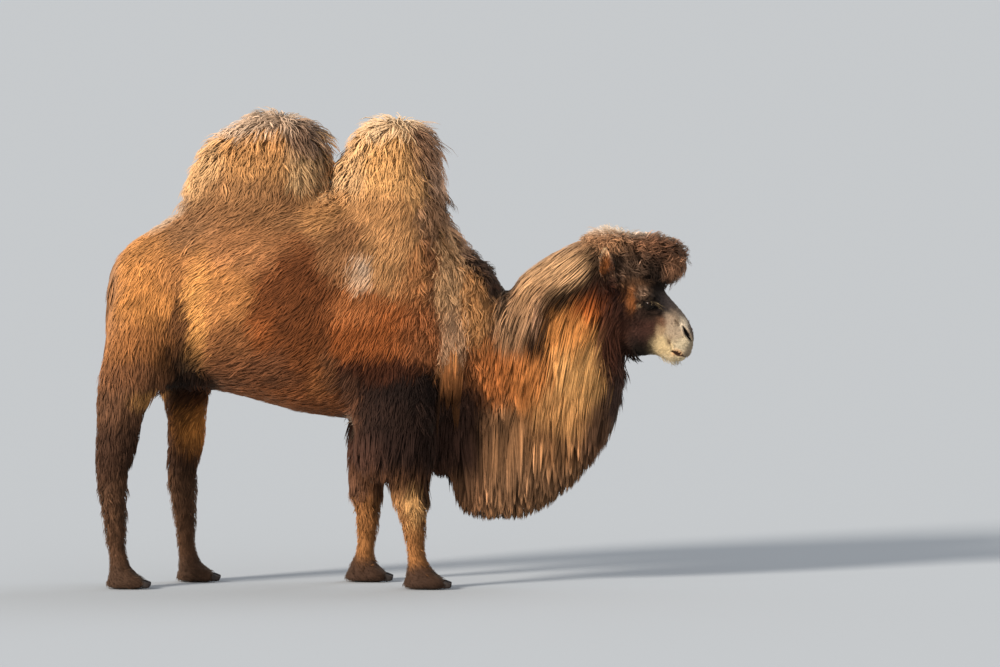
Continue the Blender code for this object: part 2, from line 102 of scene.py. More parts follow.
aim = Vector((cad_low.x + AIM_ALONG * (cad_high.x - cad_low.x), 0, AIM_UP * (cad_high.z - cad_low.z)))
camera = added("camera", bpy.data.cameras.new("camera"))
camera.data.lens = camera.data.sensor_width * CAMERA_DISTANCE / SHOWN_WIDTH
camera.data.clip_end = 1.6 * FLOOR_REACH
camera.location = aim + CAMERA_DISTANCE * Vector((0, -math.cos(CAMERA_DOWN), math.sin(CAMERA_DOWN)))
camera.rotation_euler = (math.pi / 2 - CAMERA_DOWN, 0, 0)
bpy.context.scene.camera = camera
bpy.context.scene.view_settings.view_transform = "Standard"

sunlight("key_light", (0.72, 0.57, -0.40), strength=5.3, softness=12, colour=(1.0, 0.93, 0.84))
sunlight("fill_light", (-0.55, -0.35, -0.55), strength=1.0, softness=40, colour=(0.88, 0.93, 1.0))
world = bpy.data.worlds.new("studio")
world.use_nodes = True
world.node_tree.nodes["Background"].inputs["Color"].default_value = (0.86, 0.88, 0.91, 1)
world.node_tree.nodes["Background"].inputs["Strength"].default_value = 0.66
bpy.context.scene.world = world

corners = [(FLOOR_REACH * x, FLOOR_REACH * y, 0) for x, y in ((-1, -1), (1, -1), (1, 1), (-1, 1))]
floor_mesh = bpy.data.meshes.new("floor")
floor_mesh.from_pydata(corners, [], [(0, 1, 2, 3)])
paint, _ = material_of(
    "pale_floor", {"Base Color": (0.40, 0.42, 0.44, 1), "Roughness": 1.0, "Specular IOR Level": 0.0}
)
floor_mesh.materials.append(paint)
added("floor", floor_mesh)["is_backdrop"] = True

# ---------------------------------------------------------------------------------------------------------
# Markings and lie of the coat: soft zones that the skin and every lock share. A zone is a place on the
# left side, which the right mirrors, its reach along X, Y and Z, and its colour or the way hair points.
# Some colour zones hold painted light or painted shade rather than the coat's own colour, as said above
# them.

MARKINGS = {
    "rump": ((-1.12, 0.27, 1.33), (0.13, 0.28, 0.15), (198, 132, 72)),
    "rump back": ((-1.26, 0.12, 1.32), (0.05, 0.22, 0.22), (150, 104, 68)),
    "rump top": ((-1.12, 0.16, 1.53), (0.14, 0.18, 0.09), (182, 124, 72)),
    "back ridge": ((-1.06, 0.00, 1.66), (0.24, 0.07, 0.06), (192, 162, 134)),
    # Pale along the rump's rear outline: frost on the coat with painted rim light.
    "rump rim": ((-1.32, 0.00, 1.46), (0.05, 0.06, 0.14), (186, 158, 134)),
    "loin": ((-0.92, 0.18, 1.61), (0.11, 0.20, 0.08), (138, 98, 66)),
    "hip": ((-0.98, 0.30, 1.45), (0.10, 0.20, 0.09), (176, 118, 70)),
    "thigh": ((-1.14, 0.28, 1.09), (0.15, 0.25, 0.09), (158, 102, 58)),
    "mid thigh": ((-1.15, 0.28, 0.95), (0.16, 0.25, 0.08), (122, 80, 52)),
    "low thigh": ((-1.18, 0.26, 0.82), (0.16, 0.22, 0.08), (106, 73, 52)),
    # Painted light: a bright sunlit band along the flank's rear edge, in front of the thigh.
    "flank band": ((-0.880, 0.36, 1.27), (0.055, 0.22, 0.21), (216, 152, 86)),
    # Painted shade: the crease and fold between flank and thigh, under the belly at the groin, and between
    # the hind legs.
    "flank crease": ((-0.958, 0.32, 1.22), (0.026, 0.22, 0.19), (84, 52, 32)),
    "flank fold": ((-0.945, 0.28, 0.99), (0.072, 0.22, 0.13), (8, 6, 5)),
    "groin": ((-0.900, 0.20, 0.90), (0.090, 0.26, 0.05), (24, 16, 13)),
    "inner thigh": ((-1.02, 0.05, 0.80), (0.20, 0.12, 0.22), (30, 18, 13)),
    # Painted light: the far thigh is brightened to a sunlit orange, though it stands in the shade of the
    # near leg.
    "far thigh": ((-0.92, 0.20, 0.70), (0.07, 0.16, 0.08), (255, 164, 80)),
    "high flank": ((-0.70, 0.28, 1.53), (0.16, 0.25, 0.09), (168, 114, 72)),
    "under rear hump": ((-0.66, 0.24, 1.69), (0.20, 0.22, 0.07), (144, 100, 64)),
    "golden flank": ((-0.76, 0.38, 1.32), (0.10, 0.30, 0.14), (190, 128, 74)),
    "mid flank": ((-0.47, 0.40, 1.30), (0.14, 0.30, 0.17), (113, 64, 34)),
    "flank glow": ((-0.58, 0.40, 1.17), (0.06, 0.30, 0.08), (152, 86, 44)),
    "low flank": ((-0.74, 0.36, 1.11), (0.10, 0.30, 0.10), (132, 84, 50)),
    "barrel": ((-0.60, 0.34, 0.98), (0.18, 0.30, 0.08), (118, 73, 46)),
    "front barrel": ((-0.40, 0.38, 1.06), (0.08, 0.30, 0.12), (117, 66, 34)),
    "girth crease": ((-0.292, 0.36, 0.96), (0.024, 0.30, 0.11), (122, 78, 49)),
    "girth": ((-0.345, 0.36, 0.94), (0.026, 0.30, 0.09), (156, 96, 54)),
    "belly": ((-0.56, 0.12, 0.84), (0.30, 0.25, 0.06), (138, 80, 44)),
    "saddle": ((-0.30, 0.12, 1.70), (0.09, 0.20, 0.08), (180, 128, 80)),
    "saddle edge": ((-0.30, 0.00, 1.78), (0.08, 0.10, 0.05), (240, 206, 160)),
    "blade back": ((-0.22, 0.32, 1.55), (0.10, 0.25, 0.10), (146, 100, 64)),
    "shoulder blade": ((-0.02, 0.30, 1.50), (0.12, 0.25, 0.12), (196, 142, 92)),
    "blade front": ((0.10, 0.28, 1.40), (0.07, 0.25, 0.10), (186, 124, 76)),
    "rubbed patch": ((-0.138, 0.38, 1.446), (0.040, 0.22, 0.070), (220, 180, 146)),
    "rub middle": ((-0.135, 0.38, 1.452), (0.016, 0.20, 0.040), (246, 218, 190)),
    "under the rub": ((-0.13, 0.38, 1.26), (0.09, 0.25, 0.06), (184, 113, 65)),
    "red shoulder": ((-0.04, 0.36, 1.15), (0.14, 0.25, 0.11), (168, 94, 48)),
    "low shoulder": ((0.12, 0.30, 1.14), (0.09, 0.22, 0.10), (168, 102, 61)),
    "arm top": ((-0.05, 0.30, 1.00), (0.14, 0.22, 0.05), (72, 39, 25)),
    "arm back": ((-0.19, 0.26, 0.84), (0.038, 0.20, 0.12), (98, 64, 46)),
    "puff back": ((-0.14, 0.24, 0.60), (0.07, 0.20, 0.07), (82, 55, 44)),
    "upper arm": ((0.06, 0.26, 0.89), (0.13, 0.20, 0.06), (36, 25, 21)),
    "arm side": ((-0.085, 0.28, 0.83), (0.060, 0.20, 0.08), (48, 33, 27)),
    "arm puffs": ((0.05, 0.20, 0.68), (0.20, 0.18, 0.13), (46, 31, 25)),
    "breast": ((0.32, 0.10, 0.74), (0.09, 0.22, 0.24), (64, 42, 33)),
    "withers wool": ((0.19, 0.16, 1.66), (0.06, 0.20, 0.08), (170, 126, 92)),
    "shoulder crease": ((0.175, 0.26, 1.42), (0.022, 0.22, 0.16), (134, 86, 55)),
    "withers band": ((0.245, 0.24, 1.38), (0.042, 0.22, 0.15), (222, 170, 120)),
    "low withers": ((0.262, 0.24, 1.12), (0.045, 0.22, 0.10), (240, 184, 138)),
    "shoulder lock": ((0.262, 0.24, 0.95), (0.040, 0.22, 0.06), (180, 116, 68)),
    "behind nape": ((0.36, 0.20, 1.22), (0.05, 0.20, 0.12), (196, 138, 86)),
    "front hump": ((-0.03, 0.14, 1.88), (0.10, 0.15, 0.11), (220, 164, 104)),
    "front hump top": ((-0.03, 0.04, 2.07), (0.11, 0.12, 0.05), (246, 206, 160)),
    "front hump back": ((-0.20, 0.10, 1.92), (0.07, 0.15, 0.14), (206, 160, 112)),
    "front hump foot": ((-0.06, 0.24, 1.70), (0.13, 0.18, 0.07), (192, 138, 88)),
    # Darker fringe wool with painted shade on the front face of the front hump.
    "front hump fringe": ((0.14, 0.10, 1.96), (0.05, 0.15, 0.09), (146, 108, 82)),
    "front hump face": ((0.19, 0.06, 1.82), (0.05, 0.12, 0.07), (174, 134, 106)),
    "hump lock": ((0.235, 0.05, 1.785), (0.030, 0.10, 0.030), (222, 176, 142)),
    # Painted shadow under the hanging hump lock.
    "under the hump lock": ((0.240, 0.08, 1.690), (0.032, 0.12, 0.034), (52, 36, 30)),
    "slope wool": ((0.330, 0.06, 1.560), (0.040, 0.12, 0.050), (150, 112, 84)),
    "front hump side": ((0.10, 0.18, 1.80), (0.06, 0.12, 0.08), (212, 158, 102)),
    "rear hump": ((-0.63, 0.18, 1.91), (0.13, 0.15, 0.09), (192, 138, 86)),
    "rear hump back": ((-0.88, 0.10, 1.88), (0.08, 0.15, 0.11), (204, 158, 110)),
    "rear hump foot": ((-0.70, 0.22, 1.78), (0.16, 0.15, 0.05), (158, 112, 72)),
    "rear hump crest": ((-0.62, 0.05, 2.08), (0.17, 0.13, 0.055), (196, 164, 136)),
    # Darker fringe wool with painted shade over the front of the rear hump; the rim along its top front
    # and the gap between the humps are painted shade.
    "rear hump fringe": ((-0.37, 0.10, 2.00), (0.06, 0.15, 0.08), (142, 110, 88)),
    "rear hump rim": ((-0.318, 0.02, 2.010), (0.034, 0.20, 0.075), (96, 80, 72)),
    "hump gap": ((-0.318, 0.06, 1.860), (0.026, 0.20, 0.062), (70, 46, 36)),
    "rear hump curls": ((-0.38, 0.16, 1.86), (0.08, 0.14, 0.07), (226, 180, 128)),
    "nape": ((0.43, 0.03, 1.42), (0.09, 0.08, 0.10), (58, 40, 31)),
    "neck base": ((0.45, 0.18, 0.96), (0.11, 0.20, 0.10), (184, 109, 57)),
    "neck side": ((0.62, 0.18, 0.93), (0.10, 0.20, 0.08), (176, 110, 58)),
    "under the mane": ((0.640, 0.16, 1.225), (0.030, 0.16, 0.070), (138, 102, 79)),
    # Painted shade: near-black bands under the hanging edge of the mane.
    "mane shadow": ((0.775, 0.16, 1.328), (0.085, 0.14, 0.036), (20, 9, 5)),
    "parting upper": ((0.712, 0.16, 1.262), (0.030, 0.14, 0.040), (24, 11, 7)),
    "parting middle": ((0.676, 0.16, 1.185), (0.033, 0.14, 0.052), (18, 8, 5)),
    "parting foot": ((0.615, 0.16, 1.075), (0.036, 0.16, 0.066), (22, 10, 6)),
    "neck front": ((0.79, 0.17, 1.15), (0.08, 0.16, 0.09), (210, 136, 72)),
    "neck ember": ((0.855, 0.17, 1.25), (0.055, 0.14, 0.05), (166, 86, 37)),
    "behind the cheek": ((0.93, 0.14, 1.28), (0.050, 0.12, 0.08), (54, 25, 13)),
    "mane": ((0.74, 0.14, 1.43), (0.12, 0.14, 0.08), (178, 137, 98)),
    "mane ridge": ((0.72, 0.02, 1.52), (0.18, 0.06, 0.05), (160, 122, 90)),
    "mane middle": ((0.63, 0.15, 1.29), (0.06, 0.14, 0.08), (160, 120, 84)),
    "mane ends": ((0.53, 0.15, 1.15), (0.06, 0.14, 0.08), (142, 106, 76)),
    # Pale along the top of the crown: frost with painted rim light.
    "crown frost and rim light": ((0.985, 0.02, 1.615), (0.085, 0.055, 0.036), (220, 196, 172)),
    "crown": ((0.95, 0.10, 1.56), (0.08, 0.10, 0.04), (162, 118, 84)),
    "beside the ear": ((0.893, 0.14, 1.435), (0.034, 0.12, 0.070), (28, 16, 11)),
    "before the ear": ((1.005, 0.15, 1.455), (0.020, 0.10, 0.062), (38, 25, 20)),
    "under the ear": ((0.96, 0.14, 1.37), (0.05, 0.10, 0.03), (52, 32, 25)),
    "forehead curls": ((1.06, 0.10, 1.45), (0.08, 0.12, 0.07), (92, 70, 55)),
    "topknot": ((1.20, 0.10, 1.53), (0.10, 0.14, 0.05), (78, 52, 38)),
    "topknot band": ((1.140, 0.10, 1.535), (0.060, 0.12, 0.022), (140, 96, 68)),
    # Painted shade in the hollow between the forehead fuzz and the topknot.
    "topknot hollow": ((1.165, 0.12, 1.445), (0.028, 0.12, 0.056), (20, 13, 11)),
    "topknot light": ((1.262, 0.08, 1.435), (0.034, 0.14, 0.055), (140, 99, 73)),
    # Painted shade under the overhanging topknot.
    "under topknot": ((1.19, 0.06, 1.36), (0.07, 0.14, 0.04), (30, 25, 23)),
    "high beard": ((0.82, 0.14, 0.95), (0.08, 0.14, 0.13), (208, 152, 92)),
    "beard glow": ((0.74, 0.14, 0.79), (0.09, 0.14, 0.09), (186, 132, 80)),
    "mid beard": ((0.68, 0.13, 0.62), (0.12, 0.14, 0.10), (124, 86, 55)),
    "low beard": ((0.62, 0.10, 0.44), (0.20, 0.14, 0.10), (118, 85, 59)),
    "rear beard": ((0.45, 0.13, 0.64), (0.08, 0.14, 0.14), (122, 86, 57)),
    "rear low beard": ((0.33, 0.12, 0.42), (0.07, 0.14, 0.08), (148, 104, 72)),
    # Painted shade down the forward edges of beard and throat, which face away from the light.
    "front beard": ((0.91, 0.10, 0.68), (0.05, 0.14, 0.12), (100, 70, 50)),
    "beard edge": ((1.00, 0.05, 0.86), (0.045, 0.13, 0.18), (64, 47, 40)),
    "throat side": ((0.985, 0.12, 1.10), (0.045, 0.13, 0.15), (86, 50, 36)),
    "brow": ((1.075, 0.13, 1.366), (0.055, 0.08, 0.018), (134, 92, 62)),
    "brow tufts": ((1.118, 0.12, 1.325), (0.020, 0.06, 0.020), (138, 108, 86)),
    # Painted light: a sunlit orange patch on the cheek behind the eye.
    "cheek": ((1.063, 0.13, 1.300), (0.015, 0.07, 0.040), (168, 102, 56)),
    "eye corner": ((1.100, 0.13, 1.262), (0.006, 0.05, 0.005), (180, 146, 112)),
    "jowl": ((1.00, 0.13, 1.25), (0.040, 0.10, 0.07), (37, 20, 15)),
    "temple": ((1.02, 0.14, 1.34), (0.026, 0.08, 0.032), (30, 12, 10)),
    # Painted shade over the side of the face.
    "dark face": ((1.12, 0.09, 1.165), (0.045, 0.09, 0.05), (68, 43, 35)),
    "jaw": ((1.09, 0.06, 1.08), (0.05, 0.09, 0.045), (17, 14, 12)),
    # Painted shade deep round the eye.
    "eye hollow": ((1.15, 0.10, 1.268), (0.040, 0.06, 0.026), (10, 8, 7)),
    "under eye": ((1.14, 0.10, 1.222), (0.045, 0.06, 0.018), (52, 39, 31)),
    "nose bridge": ((1.225, 0.03, 1.285), (0.030, 0.06, 0.035), (84, 72, 67)),
    "nose ridge": ((1.295, 0.0, 1.222), (0.026, 0.034, 0.040), (112, 98, 86)),
    "nose saddle": ((1.245, 0.06, 1.212), (0.020, 0.06, 0.018), (170, 146, 122)),
    "blush": ((1.204, 0.08, 1.196), (0.014, 0.06, 0.016), (112, 78, 58)),
    "nose spot": ((1.277, 0.06, 1.192), (0.010, 0.04, 0.012), (104, 82, 60)),
    # Pale muzzle hair with a painted highlight on the side of the nose.
    "nose flank": ((1.306, 0.070, 1.192), (0.018, 0.032, 0.022), (236, 216, 188)),
    "muzzle": ((1.262, 0.06, 1.140), (0.028, 0.07, 0.028), (166, 145, 121)),
    "upper lip": ((1.300, 0.05, 1.090), (0.026, 0.06, 0.024), (198, 180, 148)),
    "nose tip": ((1.345, 0.0, 1.145), (0.018, 0.034, 0.040), (82, 68, 61)),
    "front lip": ((1.334, 0.03, 1.060), (0.020, 0.05, 0.022), (142, 124, 102)),
    "cream edge": ((1.198, 0.07, 1.155), (0.014, 0.06, 0.018), (162, 134, 102)),
    "mouth crease": ((1.236, 0.06, 1.108), (0.009, 0.06, 0.014), (84, 62, 43)),
    "lips": ((1.202, 0.05, 1.082), (0.030, 0.08, 0.032), (200, 174, 130)),
    "mouth corner": ((1.272, 0.05, 1.050), (0.015, 0.06, 0.010), (216, 162, 112)),
    "chin": ((1.245, 0.03, 1.022), (0.032, 0.08, 0.014), (228, 204, 162)),
    "forearm": ((-0.02, 0.19, 0.48), (0.16, 0.12, 0.06), (92, 60, 41)),
    "knee patch": ((0.090, 0.24, 0.35), (0.055, 0.10, 0.070), (226, 170, 108)),
    "knee back": ((0.010, 0.24, 0.40), (0.030, 0.10, 0.08), (158, 110, 70)),
    "near shin": ((0.158, 0.22, 0.36), (0.020, 0.12, 0.17), (40, 28, 22)),
    "far shin": ((-0.062, 0.22, 0.32), (0.018, 0.12, 0.16), (46, 32, 24)),
    "far knee tuft": ((-0.175, 0.22, 0.42), (0.050, 0.12, 0.05), (98, 67, 50)),
    "fore cannon": ((0.02, 0.19, 0.24), (0.26, 0.12, 0.11), (148, 98, 56)),
    "fore foot": ((0.02, 0.19, 0.04), (0.30, 0.12, 0.06), (62, 44, 34)),
    "gaskin": ((-1.12, 0.18, 0.62), (0.26, 0.14, 0.10), (72, 49, 36)),
    "hock tuft": ((-1.10, 0.28, 0.835), (0.070, 0.16, 0.026), (246, 176, 98)),
    "hind cannon": ((-1.05, 0.18, 0.30), (0.26, 0.12, 0.16), (84, 58, 41)),
    "hind foot": ((-1.05, 0.18, 0.04), (0.30, 0.12, 0.06), (68, 49, 37)),
    "tail": ((-1.31, 0.00, 1.32), (0.05, 0.05, 0.16), (92, 64, 44)),
    "tail tuft": ((-1.31, 0.00, 0.95), (0.05, 0.05, 0.12), (44, 32, 25)),
}

LIE = {
    "rump": ((-1.15, 0.25, 1.35), (0.16, 0.3, 0.25), (-0.30, 0.0, -1.0)),
    "thigh": ((-1.10, 0.25, 0.95), (0.20, 0.3, 0.22), (-0.12, 0.1, -1.0)),
    "rump top": ((-1.10, 0.10, 1.60), (0.20, 0.2, 0.12), (-1.00, 0.25, -0.35)),
    "high flank": ((-0.65, 0.30, 1.60), (0.25, 0.3, 0.15), (-0.95, 0.1, -0.50)),
    "mid flank": ((-0.60, 0.40, 1.25), (0.25, 0.3, 0.20), (-0.85, 0.0, -0.62)),
    "barrel": ((-0.55, 0.36, 0.98), (0.30, 0.3, 0.15), (-1.00, 0.0, -0.32)),
    "belly": ((-0.50, 0.10, 0.82), (0.40, 0.25, 0.10), (-1.00, 0.0, -0.15)),
    "front flank": ((-0.25, 0.38, 1.20), (0.15, 0.3, 0.25), (-0.55, 0.0, -0.85)),
    "shoulder": ((0.02, 0.32, 1.30), (0.18, 0.3, 0.30), (-0.50, 0.0, -0.90)),
    "upper arm": ((0.05, 0.26, 0.85), (0.25, 0.25, 0.20), (-0.12, 0.25, -1.0)),
    "withers": ((0.24, 0.20, 1.55), (0.12, 0.25, 0.20), (-0.10, 0.2, -1.0)),
    "breast": ((0.32, 0.10, 0.75), (0.12, 0.25, 0.25), (0.05, 0.1, -1.0)),
    "front hump": ((-0.08, 0.10, 1.92), (0.12, 0.2, 0.14), (-0.30, 0.35, -1.0)),
    "front hump back": ((-0.22, 0.10, 1.95), (0.08, 0.2, 0.14), (-0.75, 0.25, -0.75)),
    "front hump fringe": ((0.15, 0.10, 1.95), (0.08, 0.2, 0.14), (0.45, 0.30, -1.0)),
    "rear hump": ((-0.62, 0.12, 1.90), (0.18, 0.2, 0.14), (-0.40, 0.40, -1.0)),
    "rear hump back": ((-0.90, 0.10, 1.88), (0.12, 0.2, 0.14), (-0.90, 0.25, -0.75)),
    "rear hump fringe": ((-0.36, 0.10, 1.95), (0.09, 0.2, 0.14), (0.55, 0.30, -1.0)),
    "neck root": ((0.45, 0.18, 1.15), (0.14, 0.2, 0.25), (-0.15, 0.1, -1.0)),
    "neck": ((0.68, 0.15, 1.02), (0.16, 0.2, 0.18), (-0.20, 0.1, -1.0)),
    "neck front": ((0.93, 0.14, 1.20), (0.08, 0.2, 0.14), (-0.30, 0.1, -1.0)),
    "beard": ((0.66, 0.12, 0.60), (0.30, 0.2, 0.24), (-0.02, 0.0, -1.0)),
    "beard edge": ((0.98, 0.06, 0.85), (0.07, 0.2, 0.20), (-0.22, 0.0, -1.0)),
    "mane": ((0.72, 0.10, 1.48), (0.14, 0.15, 0.10), (-0.80, 0.25, -0.62)),
    "mane ends": ((0.56, 0.12, 1.26), (0.10, 0.15, 0.10), (-0.42, 0.1, -0.95)),
    "crown": ((0.93, 0.05, 1.59), (0.10, 0.12, 0.06), (-0.55, 0.55, -0.55)),
    "forehead": ((1.05, 0.08, 1.48), (0.08, 0.12, 0.08), (0.35, 0.55, -0.75)),
    "topknot": ((1.18, 0.06, 1.53), (0.09, 0.15, 0.06), (0.90, 0.30, -0.45)),
    "topknot front": ((1.29, 0.06, 1.45), (0.06, 0.15, 0.08), (0.35, 0.15, -1.0)),
    "under topknot": ((1.18, 0.05, 1.38), (0.08, 0.15, 0.04), (0.40, 0.2, -1.0)),
    "cheek": ((1.06, 0.12, 1.27), (0.06, 0.1, 0.09), (-0.60, 0.1, -0.80)),
    "jaw": ((1.10, 0.07, 1.08), (0.07, 0.1, 0.07), (-0.95, 0.1, -0.35)),
    "side of nose": ((1.22, 0.06, 1.17), (0.07, 0.1, 0.07), (-0.80, 0.1, 0.40)),
    "bridge": ((1.25, 0.02, 1.27), (0.05, 0.05, 0.06), (-0.60, 0.2, 0.75)),
    "chin": ((1.23, 0.03, 1.03), (0.05, 0.1, 0.03), (-0.60, 0.0, -0.70)),
    "fore leg": ((0.02, 0.19, 0.30), (0.30, 0.15, 0.30), (-0.10, 0.0, -1.0)),
    "hind leg": ((-1.08, 0.18, 0.40), (0.30, 0.15, 0.30), (-0.10, 0.0, -1.0)),
    "tail": ((-1.32, 0.00, 1.15), (0.05, 0.06, 0.30), (0.05, 0.0, -1.0)),
}

HEAD_BACK, HEAD_FOOT = 1.03, 0.98
FIRMNESS, FACE_FIRMNESS, LIE_FIRMNESS = 1.5, 0.75, 1.6  # how sharply neighbouring zones part
BLOCK = 20000  # places blended at a time


def linear(colour):
    """Scene-linear red, green and blue of a screen colour given as 0 to 255."""
    share = np.asarray(colour, float) / 255
    return np.where(share <= 0.04045, share / 12.92, ((share + 0.055) / 1.055) ** 2.4)


def unit(vectors):
    """The same vectors, one unit long."""
    return vectors / np.maximum(np.linalg.norm(vectors, axis=-1, keepdims=True), 1e-9)


def folded(points):
    """The same places with the right side of the animal folded over onto the left."""
    return np.stack([points[:, 0], np.abs(points[:, 1]), points[:, 2]], 1)


def blend_of(zones, values, points, firmness):
    """Blends a value from soft zones: each zone's weight is exp(-firmness x squared distance measured in
    its reach), and the sum is divided by the total weight."""
    middle, reach = (np.array([zone[k] for zone in zones.values()]) for k in range(2))
    places, firmness = folded(points), np.broadcast_to(firmness, (len(points), 1))
    found = np.empty((len(points), 3))
    for start in range(0, len(points), BLOCK):
        block = slice(start, start + BLOCK)
        far = (((places[block, None] - middle) / reach) ** 2).sum(2)
        weight = np.exp(-firmness[block] * (far - far.min(1, keepdims=True)))
        found[block] = weight @ values / weight.sum(1, keepdims=True)
    return found


def ripple(points, size, seed):
    """Smooth unevenness from -1 to 1: a sum of eight sine waves of random heading, about `size` long."""
    random = np.random.default_rng(seed)
    heading = random.normal(size=(3, 8))
    heading *= 2 * math.pi / size / np.linalg.norm(heading, axis=0) * random.uniform(0.6, 1.5, 8)
    return np.sin(points @ heading + random.uniform(0, 2 * math.pi, 8)).sum(1) / 4


def strayed(points, by, size, seeds):
    """Places moved by up to about `by` along X, Y and Z, by a ripple for each."""
    return points + by * np.stack([ripple(points, size, seed) for seed in seeds], 1)


marking_colours = linear([zone[2] for zone in MARKINGS.values()])
lie_ways = np.array([zone[2] for zone in LIE.values()], float)


def coat_colour(points):
    """The markings at these points. Their edges wander, by centimetres on the body and millimetres on the
    face, so that no zone ends in a line; the small zones of the face melt into each other more."""
    on_head = (points[:, :1] > HEAD_BACK) & (points[:, 2:] > HEAD_FOOT)
    by_centimetres = strayed(points, by=0.022, size=0.16, seeds=(1, 2, 3))
    by_millimetres = strayed(points, by=0.0045, size=0.035, seeds=(6, 7, 8))
    places = np.where(on_head, by_millimetres, by_centimetres)
    return blend_of(MARKINGS, marking_colours, places, np.where(on_head, FACE_FIRMNESS, FIRMNESS))


def streaks(points):
    """Uneven light and dark drawn out along the slant of the flank hair."""
    x, y, z = points.T
    along, across = 0.82 * x + 0.57 * z, 0.82 * z - 0.57 * x
    drawn = np.stack([0.20 * along, 0.7 * y, across], 1)
    return 0.5 * ripple(drawn, size=0.085, seed=4) + 0.7 * ripple(drawn, size=0.030, seed=5)


def coat_lie(points):
    """The way hair points, as unit vectors; on the right side its sideways part is mirrored."""
    way = blend_of(LIE, lie_ways, points, LIE_FIRMNESS)
    way[:, 1] *= np.where(points[:, 1] < 0, -1, 1)
    return unit(way)


# ---------------------------------------------------------------------------------------------------------
# Skin: one hide over trunk, humps, neck, head, legs and tail, lying inside them by the depth of the coat.
# It is drawn over the joined solids, sunk, refined on the face, and given lids, nostrils, lips and folds.

FLESH = sorted(n for n in nodes if "nail" not in n and "ear_" not in n)
COAT_DEPTH = {
    "upper_leg": 0.024, "lower_leg": 0.009, "foot": 0.005, "hump": 0.030, "mane": 0.030, "topknot": 0.030,
    "beard": 0.034, "breast": 0.032, "neck": 0.026, "trunk": 0.024, "tail": 0.020, "head": 0.005,
    "lower_jaw": 0.004, "eye": 0.004,
}
SKIN_CELL = 0.0145
SOLIDS_GROWN = 0.0015
FACE_BACK, FACE_FOOT = 1.035, 0.99


def read(rows, key, width, kind=np.float32):
    """One value of each vertex, edge or triangle, as the rows of an array."""
    flat = np.empty(len(rows) * width, kind)
    rows.foreach_get(key, flat)
    return flat.reshape(-1, width)


def place_of(mesh):
    """Vertex places of a mesh."""
    return read(mesh.vertices, "co", 3).astype(float)


def normals_of(mesh):
    """Vertex normals of a mesh."""
    return read(mesh.vertex_normals, "vector", 3).astype(float)


def edges_of(mesh):
    """The two vertex numbers of each edge."""
    return read(mesh.edges, "vertices", 2, np.int32)


def triangles_of(mesh):
    """The three vertex numbers of each triangle."""
    mesh.calc_loop_triangles()
    return read(mesh.loop_triangles, "vertices", 3, np.int32)


def set_places(mesh, places):
    """Moves a mesh's vertices to these rows."""
    mesh.vertices.foreach_set("co", places.astype(np.float32).ravel())
    mesh.update()


def evened(values, edges, rounds, share):
    """Moves each vertex's value part of the way to its neighbours' mean, several times over."""
    a, b = edges.T
    count = np.maximum(np.bincount(edges.ravel(), minlength=len(values)), 1)[:, None]
    for _ in range(rounds):
        total = [np.bincount(a, v[b], len(v)) + np.bincount(b, v[a], len(v)) for v in values.T]
        values = values + np.reshape(share, (-1, 1)) * (np.stack(total, 1) / count - values)
    return values


# Which solid each place on the body belongs to, and how deep the hide lies under each.
solid_places, solid_faces, solid_owner = [], [], []
for owner, name in enumerate(FLESH):
    data = nodes[name].data
    faces = triangles_of(data)
    solid_faces.append(faces + sum(map(len, solid_places)))
    solid_places.append(place_of(data))
    solid_owner += [owner] * len(faces)
solid_tree = BVHTree.FromPolygons(
    np.concatenate(solid_places).tolist(), np.concatenate(solid_faces).tolist()
)
solid_owner = np.array(solid_owner)
flesh_depth = np.array([next(depth for part, depth in COAT_DEPTH.items() if part in n) for n in FLESH])


def owners_of(points):
    """The number in FLESH of the solid nearest each point."""
    return np.array([solid_owner[solid_tree.find_nearest(p)[2]] for p in points.tolist()])


def joined_solids(names, grow):
    """The named solids as one loose set of triangles, pushed out by `grow` so that neighbours overlap."""
    shape = bmesh.new()
    for name in names:
        shape.from_mesh(nodes[name].data)
    bmesh.ops.remove_doubles(shape, verts=shape.verts, dist=1e-5)
    shape.normal_update()
    for vert in shape.verts:
        vert.co += vert.normal * grow
    mesh = bpy.data.meshes.new("joined")
    shape.to_mesh(mesh)
    shape.free()
    return mesh


@contextmanager
def edited(mesh):
    """A mesh opened for changes to its vertices and faces, which it takes over when they are done."""
    shape = bmesh.new()
    shape.from_mesh(mesh)
    yield shape
    shape.to_mesh(mesh)
    shape.free()


def remeshed(mesh, cell):
    """One closed mesh of even square cells round everything in `mesh`."""
    holder = added("remesh", mesh)
    remesh = holder.modifiers.new("remesh", "REMESH")
    remesh.mode, remesh.voxel_size = "VOXEL", cell
    graph = bpy.context.evaluated_depsgraph_get()
    made = bpy.data.meshes.new_from_object(holder.evaluated_get(graph), depsgraph=graph)
    bpy.data.objects.remove(holder)
    return made


def largest_part(mesh):
    """Keeps the biggest connected part, and drops any bubble shut inside it."""
    a, b = edges_of(mesh).T
    label = np.arange(len(mesh.vertices))
    while True:
        low = np.minimum(label[a], label[b])
        lower = label.copy()
        np.minimum.at(lower, a, low)
        np.minimum.at(lower, b, low)
        lower = lower[lower]
        if (lower == label).all():
            break
        label = lower
    drop = label != np.bincount(label).argmax()
    with edited(mesh) as shape:
        shape.verts.ensure_lookup_table()
        bmesh.ops.delete(shape, geom=[shape.verts[i] for i in np.flatnonzero(drop)], context="VERTS")
    return mesh


